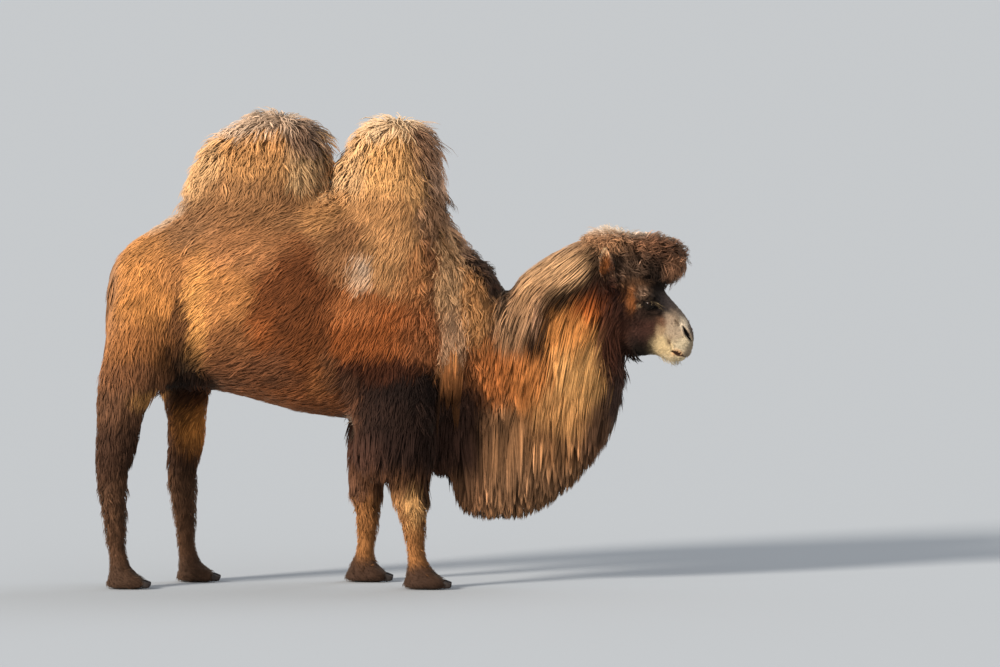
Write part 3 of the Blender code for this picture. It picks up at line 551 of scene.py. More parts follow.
skin_mesh = largest_part(remeshed(joined_solids(FLESH, SOLIDS_GROWN), SKIN_CELL))
edges = edges_of(skin_mesh)
owner = owners_of(place_of(skin_mesh))
depth = evened(flesh_depth[owner][:, None], edges, rounds=14, share=0.5)
face_like = np.isin(owner, [i for i, n in enumerate(FLESH) if n in ("head", "lower_jaw") or "eye" in n])
set_places(skin_mesh, evened(place_of(skin_mesh), edges, rounds=5, share=np.where(face_like, 0.30, 0.5)))
set_places(skin_mesh, place_of(skin_mesh) - normals_of(skin_mesh) * depth)
set_places(skin_mesh, evened(place_of(skin_mesh), edges, rounds=3, share=np.where(face_like, 0.15, 0.5)))

eye_low, eye_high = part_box("eye_left")
eye_middle = np.array((eye_low + eye_high) / 2)
EYE_RADIUS = (eye_high.x - eye_low.x) / 2


def refined(mesh, chosen):
    """Halves the cells whose middle `chosen` picks, and eases the new vertices into the surface."""
    with edited(mesh) as shape:
        picked = chosen(np.array([f.calc_center_median() for f in shape.faces]))
        shape.faces.ensure_lookup_table()
        found = {edge for i in np.flatnonzero(picked) for edge in shape.faces[i].edges}
        bmesh.ops.subdivide_edges(shape, edges=list(found), cuts=1, use_grid_fill=True)
    places = place_of(mesh)
    share = np.where(chosen(places), 0.4, 0.0)
    set_places(mesh, evened(places, edges_of(mesh), rounds=2, share=share))


def on_face(points):
    """The bare-looking face: before the cheeks and under the topknot."""
    x, z = points[:, 0], points[:, 2]
    return (x > FACE_BACK) & (z > FACE_FOOT) & (z < 1.385 - 0.15 * (x - 1.05))


def on_features(points):
    """Round the eyes, and the end of the muzzle with nostrils and mouth."""
    near_eye = np.linalg.norm((folded(points) - eye_middle) * (0.85, 1, 1.1), axis=1) < 0.045
    x, z = points[:, 0], points[:, 2]
    return near_eye | ((x > 1.235) & (z < 1.20) & (z > 1.0))


for chosen in (on_face, on_face, on_features):
    refined(skin_mesh, chosen)

# Lids: the hide domes over each eyeball and parts in a narrow almond that slopes down towards the nose.
LID = 0.0028
CREASE_SUNK, BAG_SUNK, RIM_RAISED, LID_THICKNESS = 0.0028, 0.0016, 0.0012, 0.006
SLIT_HALF_LENGTH, SLIT_ABOVE, SLIT_BELOW = 0.0225, 0.0060, 0.0055
SLIT_SLOPE = math.radians(24)


def smooth_step(low, high, values):
    """0 below `low`, 1 above `high`, and an S-curve between."""
    share = np.clip((values - low) / (high - low), 0, 1)
    return share * share * (3 - 2 * share)


def bell(off, reach):
    """1 where `off` is nothing, and fading smoothly away past `reach` on both sides."""
    return np.exp(-((off / reach) ** 2))


def eye_axes(sign):
    """Outward, along the slit towards the nose, and up across it, for the left (+1) or right (-1) eye."""
    outward = unit(np.array([0.22, sign * 1.0, 0.10]))
    ahead = np.array([math.cos(SLIT_SLOPE), 0, -math.sin(SLIT_SLOPE)])
    ahead = unit(ahead - outward * (ahead @ outward))
    above = np.cross(outward, ahead) * (-sign)
    return outward, ahead, above * np.sign(above[2])


def from_eye(places, sign):
    """How far each place is from an eye's middle: outwards, along its slit, and up across it."""
    return [(places - eye_middle * (1, sign, 1)) @ axis for axis in eye_axes(sign)]


def inside_slit(along, up):
    """How far inside the almond of the slit a place is, and less than nothing outside it."""
    opening = np.clip(1 - (along / SLIT_HALF_LENGTH) ** 2, 0, None)
    return np.minimum(SLIT_ABOVE * opening - up, up + SLIT_BELOW * opening)


def with_lids(places, sign):
    """Pushes hide out over the eyeball as lids, and in behind it inside the slit."""
    out, along, up = from_eye(places, sign)
    across = np.hypot(along, up)
    near = (out > -0.01) & (across < 0.06)
    raised = np.maximum(out, np.sqrt(np.maximum((EYE_RADIUS + LID) ** 2 - across**2, 0)))
    crease = bell(up - SLIT_ABOVE - 0.010 + 10 * along**2, 0.0022) * smooth_step(0.034, 0.020, abs(along))
    bag = bell(up + SLIT_BELOW + 0.009 - 8 * along**2, 0.0025) * smooth_step(0.030, 0.016, abs(along))
    raised = raised - CREASE_SUNK * crease - BAG_SUNK * bag
    edge = np.where(abs(along) < SLIT_HALF_LENGTH, inside_slit(along, up), -1)
    parted = smooth_step(-0.0006, 0.0012, edge)
    rim = bell(edge + 0.0016, 0.0014) * RIM_RAISED
    behind = np.sqrt(np.maximum(EYE_RADIUS**2 - across**2, 0)) - LID_THICKNESS
    moved = (raised + rim) * (1 - parted) + behind * parted
    return places + eye_axes(sign)[0] * np.where(near, moved - out, 0)[:, None]


# Nostrils, mouth and creases run along lines in the XZ plane, each from a start to an end.
NOSTRIL = ((1.300, 1.170), (1.335, 1.106))
MOUTH = ((1.251, 1.060), (1.330, 1.027))
FACE_CREASES = (  # start, end, half width, depth
    ((1.222, 1.140), (1.242, 1.094), 0.0045, 0.0035),
    ((1.242, 1.094), (1.252, 1.064), 0.0040, 0.0040),
    ((1.268, 1.196), (1.292, 1.176), 0.0050, 0.0030),
    ((1.205, 1.060), (1.236, 1.034), 0.0050, 0.0025),
    ((1.150, 1.225), (1.200, 1.205), 0.0060, 0.0030),
)
NOSTRIL_SUNK, NOSTRIL_RAISED, MOUTH_SUNK, LIP_SPLIT, WRINKLE = 0.018, 0.0045, 0.010, 0.0055, 0.0014
NAPE, NAPE_REACH, NAPE_DIP = (0.512, 1.36), 0.060, 0.036


def to_segment(places, start, end):
    """Distance in the XZ plane to a line from start to end, and the share of the way along it."""
    start, end = np.array(start), np.array(end)
    flat = places[:, [0, 2]] - start
    share = np.clip(flat @ (end - start) / ((end - start) @ (end - start)), 0, 1)
    return np.linalg.norm(flat - share[:, None] * (end - start), axis=1), share


def nostril_depth(places):
    """How far inside a nostril slit a place is, 0 to 1, and how far on its rim."""
    off, share = to_segment(places, *NOSTRIL)
    half = 0.0092 * np.sin(math.pi * np.clip(share, 0.04, 0.96)) ** 0.7
    side = np.abs(places[:, 1]) > 0.012
    return smooth_step(0.0026, -0.0020, off - half) * side, bell(off - half - 0.0050, 0.0034) * side


def mouth_depth(places):
    """How far inside the parted lips a place is, 0 to 1: widest behind the front teeth, shut in front."""
    off, share = to_segment(places, *MOUTH)
    half = 0.0014 + 0.0075 * bell(share - 0.36, 0.26)
    drop = places[:, 2] - (MOUTH[0][1] + share * (MOUTH[1][1] - MOUTH[0][1]))
    off = np.where(drop < 0, off * 0.75, off)
    return smooth_step(0.0026, -0.0016, off - half) * (places[:, 0] > 1.245)


def with_features(places, normals):
    """Nostrils, the mouth line, the split upper lip, cheek creases and the wrinkles round them."""
    inside, rim = nostril_depth(places)
    moved = places + normals * (NOSTRIL_RAISED * rim - NOSTRIL_SUNK * inside)[:, None]
    moved -= normals * (MOUTH_SUNK * mouth_depth(places))[:, None]
    x, y, z = places.T
    split = bell(y, 0.0026) * (x > 1.30) * smooth_step(1.035, 1.045, z)
    split *= smooth_step(1.135, 1.115, z)
    moved -= normals * (LIP_SPLIT * split)[:, None]
    for start, end, width, sink in FACE_CREASES:
        moved -= normals * (sink * bell(to_segment(places, start, end)[0], width))[:, None]
    muzzle = smooth_step(1.20, 1.24, x) * smooth_step(1.24, 1.18, z)
    wrinkles = np.abs(ripple(places * (1, 1, 1.8), size=0.030, seed=11))
    wrinkles += 0.5 * np.abs(ripple(places, size=0.014, seed=12))
    return moved - normals * (WRINKLE * muzzle * (1 - wrinkles))[:, None]


places = place_of(skin_mesh)
featured = with_features(places, normals_of(skin_mesh))
places = np.where(on_face(places)[:, None], featured, places)
for sign in (1, -1):
    places = with_lids(places, sign)
nape = bell(np.hypot(places[:, 0] - NAPE[0], places[:, 2] - NAPE[1]), NAPE_REACH)
nape *= smooth_step(0.17, 0.08, np.abs(places[:, 1]))
places[:, 2] -= NAPE_DIP * nape  # the sharp dip where the mane meets the withers
set_places(skin_mesh, places)

# Painted shade inside the nostril slits and between the parted lips; the nostril rims and lid edges are
# the hide's own colours.
NOSTRIL_DARK, NOSTRIL_RIM = linear((34, 29, 27)), linear((120, 104, 90))
MOUTH_SHADE, LID_EDGE = linear((58, 38, 28)), linear((16, 12, 11))
# The hide under long coat is darkened: a darker undercoat and painted shade under the locks.
UNDER_LONG_COAT = 0.52


def tinted(mesh, colours):
    """Gives each vertex its own colour, in the attribute `coat` that the materials read."""
    layer = mesh.color_attributes.new("coat", "FLOAT_COLOR", "POINT")
    rows = np.concatenate([np.clip(colours, 0, 1), np.ones((len(colours), 1))], 1)
    layer.data.foreach_set("color", rows.astype(np.float32).ravel())


def lid_shade(places, sign):
    """How dark and bare the hide is round an eye: full at the slit, fading over a centimetre."""
    out, along, up = from_eye(places, sign)
    outside = 0.2 * np.maximum(np.abs(along) - 0.030, 0) - inside_slit(along, up)
    shade = smooth_step(0.010, 0.002, outside)
    return shade * (out > -0.01) * (np.abs(along) < 0.045) * (np.abs(up) < 0.03)


def face_colours(places, colours):
    """The markings with painted shade in nostrils and parted lips, and the dark lid edges, laid over them.
    """
    face = on_face(places)
    inside, rim = nostril_depth(places)
    for amount, colour in (
        (rim * 0.60 * face, NOSTRIL_RIM),
        (inside * face, NOSTRIL_DARK),
        (mouth_depth(places) * face, MOUTH_SHADE),
        (0.85 * lid_shade(places, 1), LID_EDGE),
        (0.85 * lid_shade(places, -1), LID_EDGE),
    ):
        colours = colours + amount[:, None] * (colour - colours)
    return colours


places = place_of(skin_mesh)
# How far each place lies under long coat, which darkens it as darker undercoat and painted shade.
hidden = smooth_step(0.007, 0.016, flesh_depth[owners_of(places)])
hidden = evened(hidden[:, None], edges_of(skin_mesh), rounds=6, share=0.5)
colours = coat_colour(places) * (1 - (1 - UNDER_LONG_COAT) * hidden)
tinted(skin_mesh, face_colours(places, colours))


def coat_tint_group():
    """Shared by hide and wool: a colour broken up by fine grain drawn out along the hair, with a matching
    roughness and height."""
    group = bpy.data.node_groups.new("coat_tint", "ShaderNodeTree")
    for name, kind in (("Colour", "Color"), ("Grain", "Float"), ("Contrast", "Float")):
        group.interface.new_socket(name, in_out="INPUT", socket_type=f"NodeSocket{kind}")
    for name, kind in (("Colour", "Color"), ("Roughness", "Float"), ("Height", "Float")):
        group.interface.new_socket(name, in_out="OUTPUT", socket_type=f"NodeSocket{kind}")
    add, link = group.nodes.new, group.links.new
    given, result = add("NodeGroupInput"), add("NodeGroupOutput")
    where, drawn = add("ShaderNodeTexCoord"), add("ShaderNodeMapping")
    drawn.inputs["Scale"].default_value = (1.0, 1.0, 0.35)
    grain = add("ShaderNodeTexNoise")
    grain.inputs["Detail"].default_value = 3
    value, rough = add("ShaderNodeMapRange"), add("ShaderNodeMapRange")
    value.inputs["From Min"].default_value, value.inputs["From Max"].default_value = 0.3, 0.7
    rough.inputs["To Min"].default_value, rough.inputs["To Max"].default_value = 0.92, 0.66
    low, high = add("ShaderNodeMath"), add("ShaderNodeMath")
    low.operation, high.operation = "SUBTRACT", "ADD"
    low.inputs[0].default_value = high.inputs[0].default_value = 1.0
    toned = add("ShaderNodeVectorMath")
    toned.operation = "SCALE"
    for start, end in (
        (where.outputs["Object"], drawn.inputs["Vector"]),
        (drawn.outputs["Vector"], grain.inputs["Vector"]),
        (given.outputs["Grain"], grain.inputs["Scale"]),
        (given.outputs["Contrast"], low.inputs[1]),
        (given.outputs["Contrast"], high.inputs[1]),
        (grain.outputs["Fac"], value.inputs["Value"]),
        (low.outputs[0], value.inputs["To Min"]),
        (high.outputs[0], value.inputs["To Max"]),
        (given.outputs["Colour"], toned.inputs[0]),
        (value.outputs["Result"], toned.inputs["Scale"]),
        (grain.outputs["Fac"], rough.inputs["Value"]),
        (toned.outputs["Vector"], result.inputs["Colour"]),
        (rough.outputs["Result"], result.inputs["Roughness"]),
        (grain.outputs["Fac"], result.inputs["Height"]),
    ):
        link(start, end)
    return group


coat_tint = coat_tint_group()


def tint_into(material, shader, grain, contrast):
    """Leads a mesh's own colours through the coat tint into the shader, and gives the tint's node."""
    add, link = material.node_tree.nodes.new, material.node_tree.links.new
    painted, tint = add("ShaderNodeAttribute"), add("ShaderNodeGroup")
    painted.attribute_name, tint.node_tree = "coat", coat_tint
    tint.inputs["Grain"].default_value, tint.inputs["Contrast"].default_value = grain, contrast
    link(painted.outputs["Color"], tint.inputs["Colour"])
    link(tint.outputs["Colour"], shader.inputs["Base Color"])
    link(tint.outputs["Roughness"], shader.inputs["Roughness"])
    return tint


def hair_material(name, grain, contrast, bump, sheen):
    """Matt hair or hide: the vertex colours through the coat tint, a soft sheen and hardly any gloss."""
    made, surface = material_of(
        name,
        {
            "Specular IOR Level": 0.07,
            "Sheen Weight": sheen,
            "Sheen Roughness": 0.45,
            "Sheen Tint": (1.0, 0.82, 0.62, 1),
        },
    )
    tint = tint_into(made, surface, grain, contrast)
    if bump:
        raised = made.node_tree.nodes.new("ShaderNodeBump")
        raised.inputs["Strength"].default_value, raised.inputs["Distance"].default_value = 0.6, bump
        made.node_tree.links.new(tint.outputs["Height"], raised.inputs["Height"])
        made.node_tree.links.new(raised.outputs["Normal"], surface.inputs["Normal"])
    return made


def placed(name, mesh, material, slot, *replaced):
    """Puts a finished mesh in the scene as a piece that rides on the one body."""
    piece = added(name, mesh)
    mesh.materials.append(material)
    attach(piece, "root")
    if replaced:
        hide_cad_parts(*replaced)


skin_mesh.shade_smooth()
hide_material = hair_material("short_haired_hide", grain=260, contrast=0.22, bump=0.0016, sheen=0.10)
placed("skin", skin_mesh, hide_material, "short_coat", *[name for name in FLESH if "eye" not in name])
skin_tree = BVHTree.FromPolygons(
    place_of(skin_mesh).tolist(), [tuple(p.vertices) for p in skin_mesh.polygons]
)

# ---------------------------------------------------------------------------------------------------------
# Eyes: dark brown balls with a clear bulging front, set deep behind the lids. Each is a sphere drawn
# round the line of sight, with a wide low pupil as camels have.

IRIS_ANGLE = math.radians(40)
PUPIL_HALF_LENGTH, PUPIL_HALF_HEIGHT = 0.40, 0.24
CORNEA_SWELL = 0.0012
EYE_BROWN, EYE_RIM, EYE_WHITE = linear((58, 34, 20)), linear((24, 14, 10)), linear((112, 92, 80))


def grid_mesh(name, places, capped=False):
    """A smooth mesh from rows of points that each close on themselves; the end rows may be capped."""
    rows, columns = places.shape[:2]
    here = np.arange(rows * columns).reshape(rows, columns)
    ahead = np.roll(here, -1, 1)
    faces = np.stack([here[:-1], ahead[:-1], ahead[1:], here[1:]], -1).reshape(-1, 4).tolist()
    if capped:
        faces += [here[0, ::-1].tolist(), here[-1].tolist()]
    mesh = bpy.data.meshes.new(name)
    mesh.from_pydata(places.reshape(-1, 3).tolist(), [], faces)
    with edited(mesh) as shape:
        bmesh.ops.remove_doubles(shape, verts=shape.verts, dist=1e-6)
        bmesh.ops.recalc_face_normals(shape, faces=shape.faces)
    mesh.shade_smooth()
    return mesh


def eyeball(sign):
    """A sphere of the eye's radius about the line of sight, swollen over the iris."""
    outward, ahead, above = eye_axes(sign)
    off = np.linspace(0, math.pi, 49)[:, None, None]
    turn = np.linspace(0, 2 * math.pi, 64, endpoint=False)[None, :, None]
    radius = EYE_RADIUS + CORNEA_SWELL * bell(off, 0.55)
    way = np.cos(off) * outward + np.sin(off) * np.cos(turn) * ahead + np.sin(off) * np.sin(turn) * above
    return grid_mesh("eyeball", eye_middle * (1, sign, 1) + radius * way)


def eye_colours(places, sign):
    """White at the back, a brown iris with darker spokes and rim, and a flat oval pupil."""
    outward, ahead, above = eye_axes(sign)
    way = unit(places - eye_middle * (1, sign, 1))
    off = np.arccos(np.clip(way @ outward, -1, 1))
    along, up = way @ ahead, way @ above
    spokes = 0.75 + 0.25 * np.sin(26 * np.arctan2(up, along))
    colours = np.where((off < IRIS_ANGLE)[:, None], EYE_BROWN * spokes[:, None], EYE_WHITE * 0.5)
    colours = colours + bell(off - IRIS_ANGLE, 0.09)[:, None] * (EYE_RIM - colours)
    pupil = smooth_step(1.15, 0.9, np.hypot(along / PUPIL_HALF_LENGTH, up / PUPIL_HALF_HEIGHT))
    return colours * (1 - 0.96 * pupil[:, None])


eye_gloss, surface = material_of(
    "wet_eye",
    {
        "Roughness": 0.16,
        "IOR": 1.34,
        "Specular IOR Level": 0.25,
        "Coat Weight": 0.12,
        "Coat Roughness": 0.06,
    },
)
painted = eye_gloss.node_tree.nodes.new("ShaderNodeAttribute")
painted.attribute_name = "coat"
eye_gloss.node_tree.links.new(painted.outputs["Color"], surface.inputs["Base Color"])
for side, sign in (("right", -1), ("left", 1)):
    mesh = eyeball(sign)
    tinted(mesh, eye_colours(place_of(mesh), sign))
    placed(f"eyeball_{side}", mesh, eye_gloss, "eye_gloss", f"eye_{side}")

# ---------------------------------------------------------------------------------------------------------
# Ears: small, upright cups of gristle, dark behind and ginger inside; their fur comes with the coat. Each
# is a crescent carried up a leaning stem, widest at half its height, and its foot is sunk in the head.

EAR_HALF_WIDTH, EAR_WALL, EAR_SUNK, EAR_RAISED = 0.031, 0.24, 0.012, 0.010
EAR_BACK, EAR_INSIDE = linear((70, 46, 34)), linear((150, 88, 46))


def ear_axes(side):
    """Foot, tip and the way the cup opens, from the ear's solid."""
    low, high = map(np.array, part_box(f"ear_{side}"))
    sign = 1 if side == "left" else -1
    x = (low[0] + high[0]) / 2
    inner, outer = sorted((abs(low[1]), abs(high[1])))
    foot = np.array([x + 0.004, sign * (inner + 0.026), low[2] + EAR_RAISED])
    tip = np.array([x - 0.008, sign * (outer - 0.020), high[2] + EAR_RAISED])
    return foot, tip, unit(np.array([0.16, sign * 0.95, -0.16]))


def ear_places(side, s, turn):
    """Cup: at height s the section is a crescent, its back half bulging out and its inner half hollowed
    to follow it; width grows as a sine to half height and closes to a blunt tip."""
    foot, tip, open_way = ear_axes(side)
    stem = unit(tip - foot)
    open_way = unit(open_way - stem * (open_way @ stem))
    across = np.cross(stem, open_way)
    foot = foot - stem * EAR_SUNK
    width = EAR_HALF_WIDTH * np.sin(math.pi * np.clip(s, 0, 1) ** 0.85) ** 0.62 + 0.0006
    back = -np.where(np.sin(turn) > 0, 0.62, 0.62 - EAR_WALL) * np.abs(np.sin(turn)) * width
    lean = 0.010 * np.sin(math.pi * s)
    return (
        foot
        + s[..., None] * (tip - foot)
        + (width * np.cos(turn))[..., None] * across
        + (back + 0.5 * width + lean)[..., None] * open_way
    )


ear_meshes = {}
for side in ("right", "left"):
    s, turn = np.meshgrid(
        np.linspace(0, 1, 26), np.linspace(0, 2 * math.pi, 40, endpoint=False), indexing="ij"
    )
    ear_meshes[side] = mesh = grid_mesh("ear", ear_places(side, s, turn), capped=True)
    facing = smooth_step(-0.2, 0.5, normals_of(mesh) @ ear_axes(side)[2])[:, None]
    tinted(mesh, EAR_BACK + facing * (EAR_INSIDE - EAR_BACK))
    placed(f"ear_cup_{side}", mesh, hide_material, "short_coat", f"ear_{side}")

# ---------------------------------------------------------------------------------------------------------
# Toenails: two blunt dark horn nails at the front of each soft broad foot, ridged along their length.
# Each is one rounded wedge of horn that fills its seat in the toe.

HORN = linear((36, 28, 24))
NAIL_SHARE = 0.98
NAIL_RIDGES, RIDGE_HEIGHT = 11, 0.015


def bulged(wave, power):
    """A sine or cosine raised to a power, with its sign kept: below 1 it squares a circle off."""
    return np.sign(wave) * np.abs(wave) ** power


def nail_places(low, high):
    """A rounded wedge in the nail's box: a finely ridged superellipsoid, its top falling away ahead."""
    turn, rise = np.meshgrid(
        np.linspace(0, 2 * math.pi, 36, endpoint=False),
        np.linspace(-math.pi / 2, math.pi / 2, 19),
        indexing="xy",
    )
    x = bulged(np.cos(rise), 0.7) * bulged(np.cos(turn), 0.8)
    y = bulged(np.cos(rise), 0.7) * bulged(np.sin(turn), 0.8)
    z = bulged(np.sin(rise), 0.6)
    z = np.where(z > 0, z * (0.86 - 0.56 * smooth_step(-0.8, 1.0, x)), z)
    ridges = 1 + RIDGE_HEIGHT * np.sin(NAIL_RIDGES * y * math.pi) * (z > -0.5)
    half, middle = (high - low) / 2 * NAIL_SHARE, (high + low) / 2
    places = middle + np.stack([x * ridges, y, z * ridges], -1) * half
    places[..., 2] = np.maximum(places[..., 2], low[2])
    return places


horn, surface = material_of("toenail_horn", {"Specular IOR Level": 0.4})
tint_into(horn, surface, grain=90, contrast=0.35)
for name in sorted(n for n in nodes if "nail" in n):
    low, high = map(np.array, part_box(name))
    mesh = grid_mesh("nail", nail_places(low, high), capped=True)
    tip = smooth_step(low[0], high[0], place_of(mesh)[:, 0])[:, None]
    tinted(mesh, HORN * (0.8 + 0.7 * tip))
    placed(f"{name}_horn", mesh, horn, "horn", name)

# ---------------------------------------------------------------------------------------------------------
# Body coat: overlapping locks of wool over rump, flank, side and withers. Each is a closed three-sided
# spike rooted in the skin, gathered with its neighbours into pointed clumps and combed along the lie.

PLAIN_STYLE = {
    "rings": 2, "stray": 0.20, "size": 6, "gather": 0.28, "curl": 0.0, "turns": 0.55, "follow": False,
    "tone": 0.07, "root_shade": 0.62, "streak": 0.0, "strands": 0.0, "lie": coat_lie,
}
ROOT_SUNK, OFF_THE_FLOOR = 0.004, 0.003
OUTLINE_ROOM, NEAR_HIDE = 0.012, 0.03
WIDTH_ALONG = ((0, 0.3, 0.7, 1), (0.75, 1.0, 0.8, 0.35))
PATCH = 0.003
HIDE_SHARE = 0.72
LOCK_TONE, PATCHY = 0.09, 0.06
CLUMP_STRAY, LOCK_STRAY = 0.75, 0.65
CLUMP_LENGTH, LOCK_LENGTH, LOCK_WIDTH = 0.12, 0.15, 0.22
LOCK_LIFT = (0.6, 1.4)
LAID_FLAT = 0.96
SHORTEST_SHARE = 0.15
RING_FLATNESS, CURL_FLATNESS = 0.6, 0.7
TIP_LIGHT, LIGHTEST = 1.10, 0.80
MINGLED_ON_BODY, MINGLED_ON_HEAD = 0.013, 0.0035
STRAND = 0.028
X, Z = 0, 2

wool = hair_material("wool_locks", grain=120, contrast=0.16, bump=0, sheen=0.22)
dull_wool = hair_material("dark_wool_locks", grain=120, contrast=0.16, bump=0, sheen=0.03)


def surface_of(mesh):
    """Triangle corners, their middles and areas, and vertex places and normals of a mesh."""
    corners, places = triangles_of(mesh), place_of(mesh)
    a, b, c = (places[corners[:, k]] for k in range(3))
    areas = 0.5 * np.linalg.norm(np.cross(b - a, c - a), axis=1)
    return SimpleNamespace(
        corners=corners, places=places, normals=normals_of(mesh), middles=(a + b + c) / 3, areas=areas
    )


hide = surface_of(skin_mesh)
hide_parts = np.array(FLESH)[owners_of(hide.middles)]
hide_out = unit(hide.normals[hide.corners].sum(1))
x, y, z = hide.middles.T


def part_of(*words):
    """True for each triangle of hide under a solid whose name holds one of these words."""
    return np.array([any(word in part for word in words) for part in hide_parts])


def at_each(value, points):
    """A style's value at each point: one number for all, or worked out from the point's place."""
    return value(points) if callable(value) else np.full(len(points), float(value))


def changing(first, last, start, end, axis):
    """A style's value that goes smoothly from `first` to `last` between two places on an axis."""
    return lambda points: first + (last - first) * smooth_step(start, end, points[:, axis])


def swelling(least, most, middle, reach, axis):
    """A style's value that swells from `least` to `most` at one place on an axis."""
    return lambda points: least + (most - least) * bell(points[:, axis] - middle, reach)


def straight(*way):
    """A lie that points the same way everywhere."""
    return lambda points: np.tile(way, (len(points), 1))


def roots_on(surface, chosen, spacing, seed):
    """Places and normals spread evenly over the chosen triangles: equal steps of summed area, each
    landing at a random spot of its triangle."""
    random = np.random.default_rng(seed)
    share = np.where(chosen, surface.areas / at_each(spacing, surface.middles) ** 2, 0)
    summed = np.cumsum(share)
    count = int(summed[-1])
    steps = (np.arange(count) + random.uniform(0, 1, count)) * summed[-1] / count
    picked = np.minimum(np.searchsorted(summed, steps), len(share) - 1)
    a, b = random.uniform(0, 1, (2, count))
    over = a + b > 1
    a, b = np.where(over, 1 - a, a), np.where(over, 1 - b, b)
    weight = np.stack([1 - a - b, a, b], 1)[..., None]
    corners = surface.corners[picked]
    return (surface.places[corners] * weight).sum(1), unit((surface.normals[corners] * weight).sum(1))


def clumps_of(roots, size, seed):
    """For each root, the number of the root that leads its clump; about `size` roots share a leader."""
    random = np.random.default_rng(seed)
    leaders = random.permutation(len(roots))[: max(1, int(len(roots) / size))]
    tree = kdtree.KDTree(len(leaders))
    for leader in leaders.tolist():
        tree.insert(roots[leader], leader)
    tree.balance()
    return np.array([tree.find(root)[1] for root in roots.tolist()])


def nearest_on(tree, points):
    """Nearest places on a surface and the way out from it there."""
    found = [tree.find_nearest(p) for p in points.tolist()]
    return np.array([f[0] for f in found]), np.array([f[1] for f in found])


def bent_over(s):
    """Height of a hair along its length: it rises steeply, bends over and settles towards its tip."""
    return 1.7 * s - s * s


def walked(roots, way, length, lift, rings, lie):
    """Centre lines walked over the hide a step at a time, turning into the lie of the coat and kept off
    the hide by the rise of a bent-over hair."""
    lines = np.empty((len(roots), rings + 1, 3))
    lines[:, 0] = place = roots
    heading = way
    for step in range(1, rings + 1):
        s = step / rings
        rise = (lift * length * bent_over(s))[:, None]
        place = place + heading * (length / rings)[:, None]
        base, out = nearest_on(skin_tree, place)
        height = ((place - base) * out).sum(1, keepdims=True)
        place = np.where(height < rise, place + out * (rise - height), place)
        lines[:, step] = place
        heading = unit(0.5 * heading + 0.5 * lie(place))
        inward = np.minimum((heading * out).sum(1, keepdims=True), 0)
        heading = unit(np.where(height < NEAR_HIDE, heading - out * inward, heading))
    return lines


def share_inside(lines):
    """The share of each line's length that stays within the solids' outline, less a little room."""
    inside = np.ones(lines.shape[:2])
    for step in range(1, lines.shape[1]):
        base, out = nearest_on(solid_tree, lines[:, step])
        inside[:, step] = ((lines[:, step] - base) * out).sum(1) < OUTLINE_ROOM
    return np.clip(np.cumprod(inside, 1).sum(1) / lines.shape[1], SHORTEST_SHARE, 1)


def cut_short(lines, share):
    """Lines run only this share of their length, with as many points as before."""
    last = lines.shape[1] - 1
    at = np.arange(last + 1)[None] * share[:, None]
    low = np.minimum(at.astype(int), last - 1)
    part = (at - low)[..., None]
    row = np.arange(len(lines))[:, None]
    return lines[row, low] * (1 - part) + lines[row, low + 1] * part


def combed(roots, normals, style, clump, seed):
    """Centre lines of locks. A lock leaves the hide steeply, bends over into the lie of the coat and
    settles at about lift x length above it. Long locks are walked over the hide and end at the animal's
    outline. Each line is drawn towards its clump's leader, more so at the tip, and wound if curly."""
    random = np.random.default_rng(seed)
    count, rings = len(roots), style.rings
    lie = style.lie(roots)
    way = unit(lie - normals * (lie * normals).sum(1, keepdims=True) * LAID_FLAT)
    turn = CLUMP_STRAY * random.normal(size=count)[clump] + LOCK_STRAY * random.normal(size=count)
    turn = style.stray * turn
    way = unit(way * np.cos(turn)[:, None] + np.cross(normals, way) * np.sin(turn)[:, None])
    spread = random.normal(0, LOCK_LENGTH, count) + CLUMP_LENGTH * random.normal(size=count)[clump]
    length = at_each(style.length, roots) * np.exp(spread)
    lift = at_each(style.lift, roots) * random.uniform(*LOCK_LIFT, count)
    if style.follow:
        lines = walked(roots, way, length, lift, rings, style.lie)
        length = length * share_inside(lines)
        lines = walked(roots, way, length, lift, rings, style.lie)
    else:
        s = np.linspace(0, 1, rings + 1)[None, :, None]
        rise = (lift * length)[:, None, None] * bent_over(s)
        reach = length[:, None, None] * s * (1 - 0.12 * s)
        lines = roots[:, None] + way[:, None] * reach + normals[:, None] * rise
    lines[:, 0] -= normals * ROOT_SUNK
    gather = at_each(style.gather, roots)[:, None]
    for step in range(1, rings + 1):
        pull = gather * (step / rings) ** 1.2
        lines[:, step] += pull * (lines[clump, step] - lines[:, step])
    if style.curl:
        across = unit(np.cross(way, normals))
        phase = random.uniform(0, 2 * math.pi, count)[clump] + random.normal(0, 0.6, count)
        for step in range(1, rings + 1):
            wound = (phase + 2 * math.pi * style.turns * step / rings)[:, None]
            ring = np.cos(wound) * across + CURL_FLATNESS * np.sin(wound) * normals
            lines[:, step] += style.curl * ring
    if style.follow:
        lines = cut_short(lines, share_inside(lines))
    lines[:, :, Z] = np.maximum(lines[:, :, Z], OFF_THE_FLOOR)
    return lines


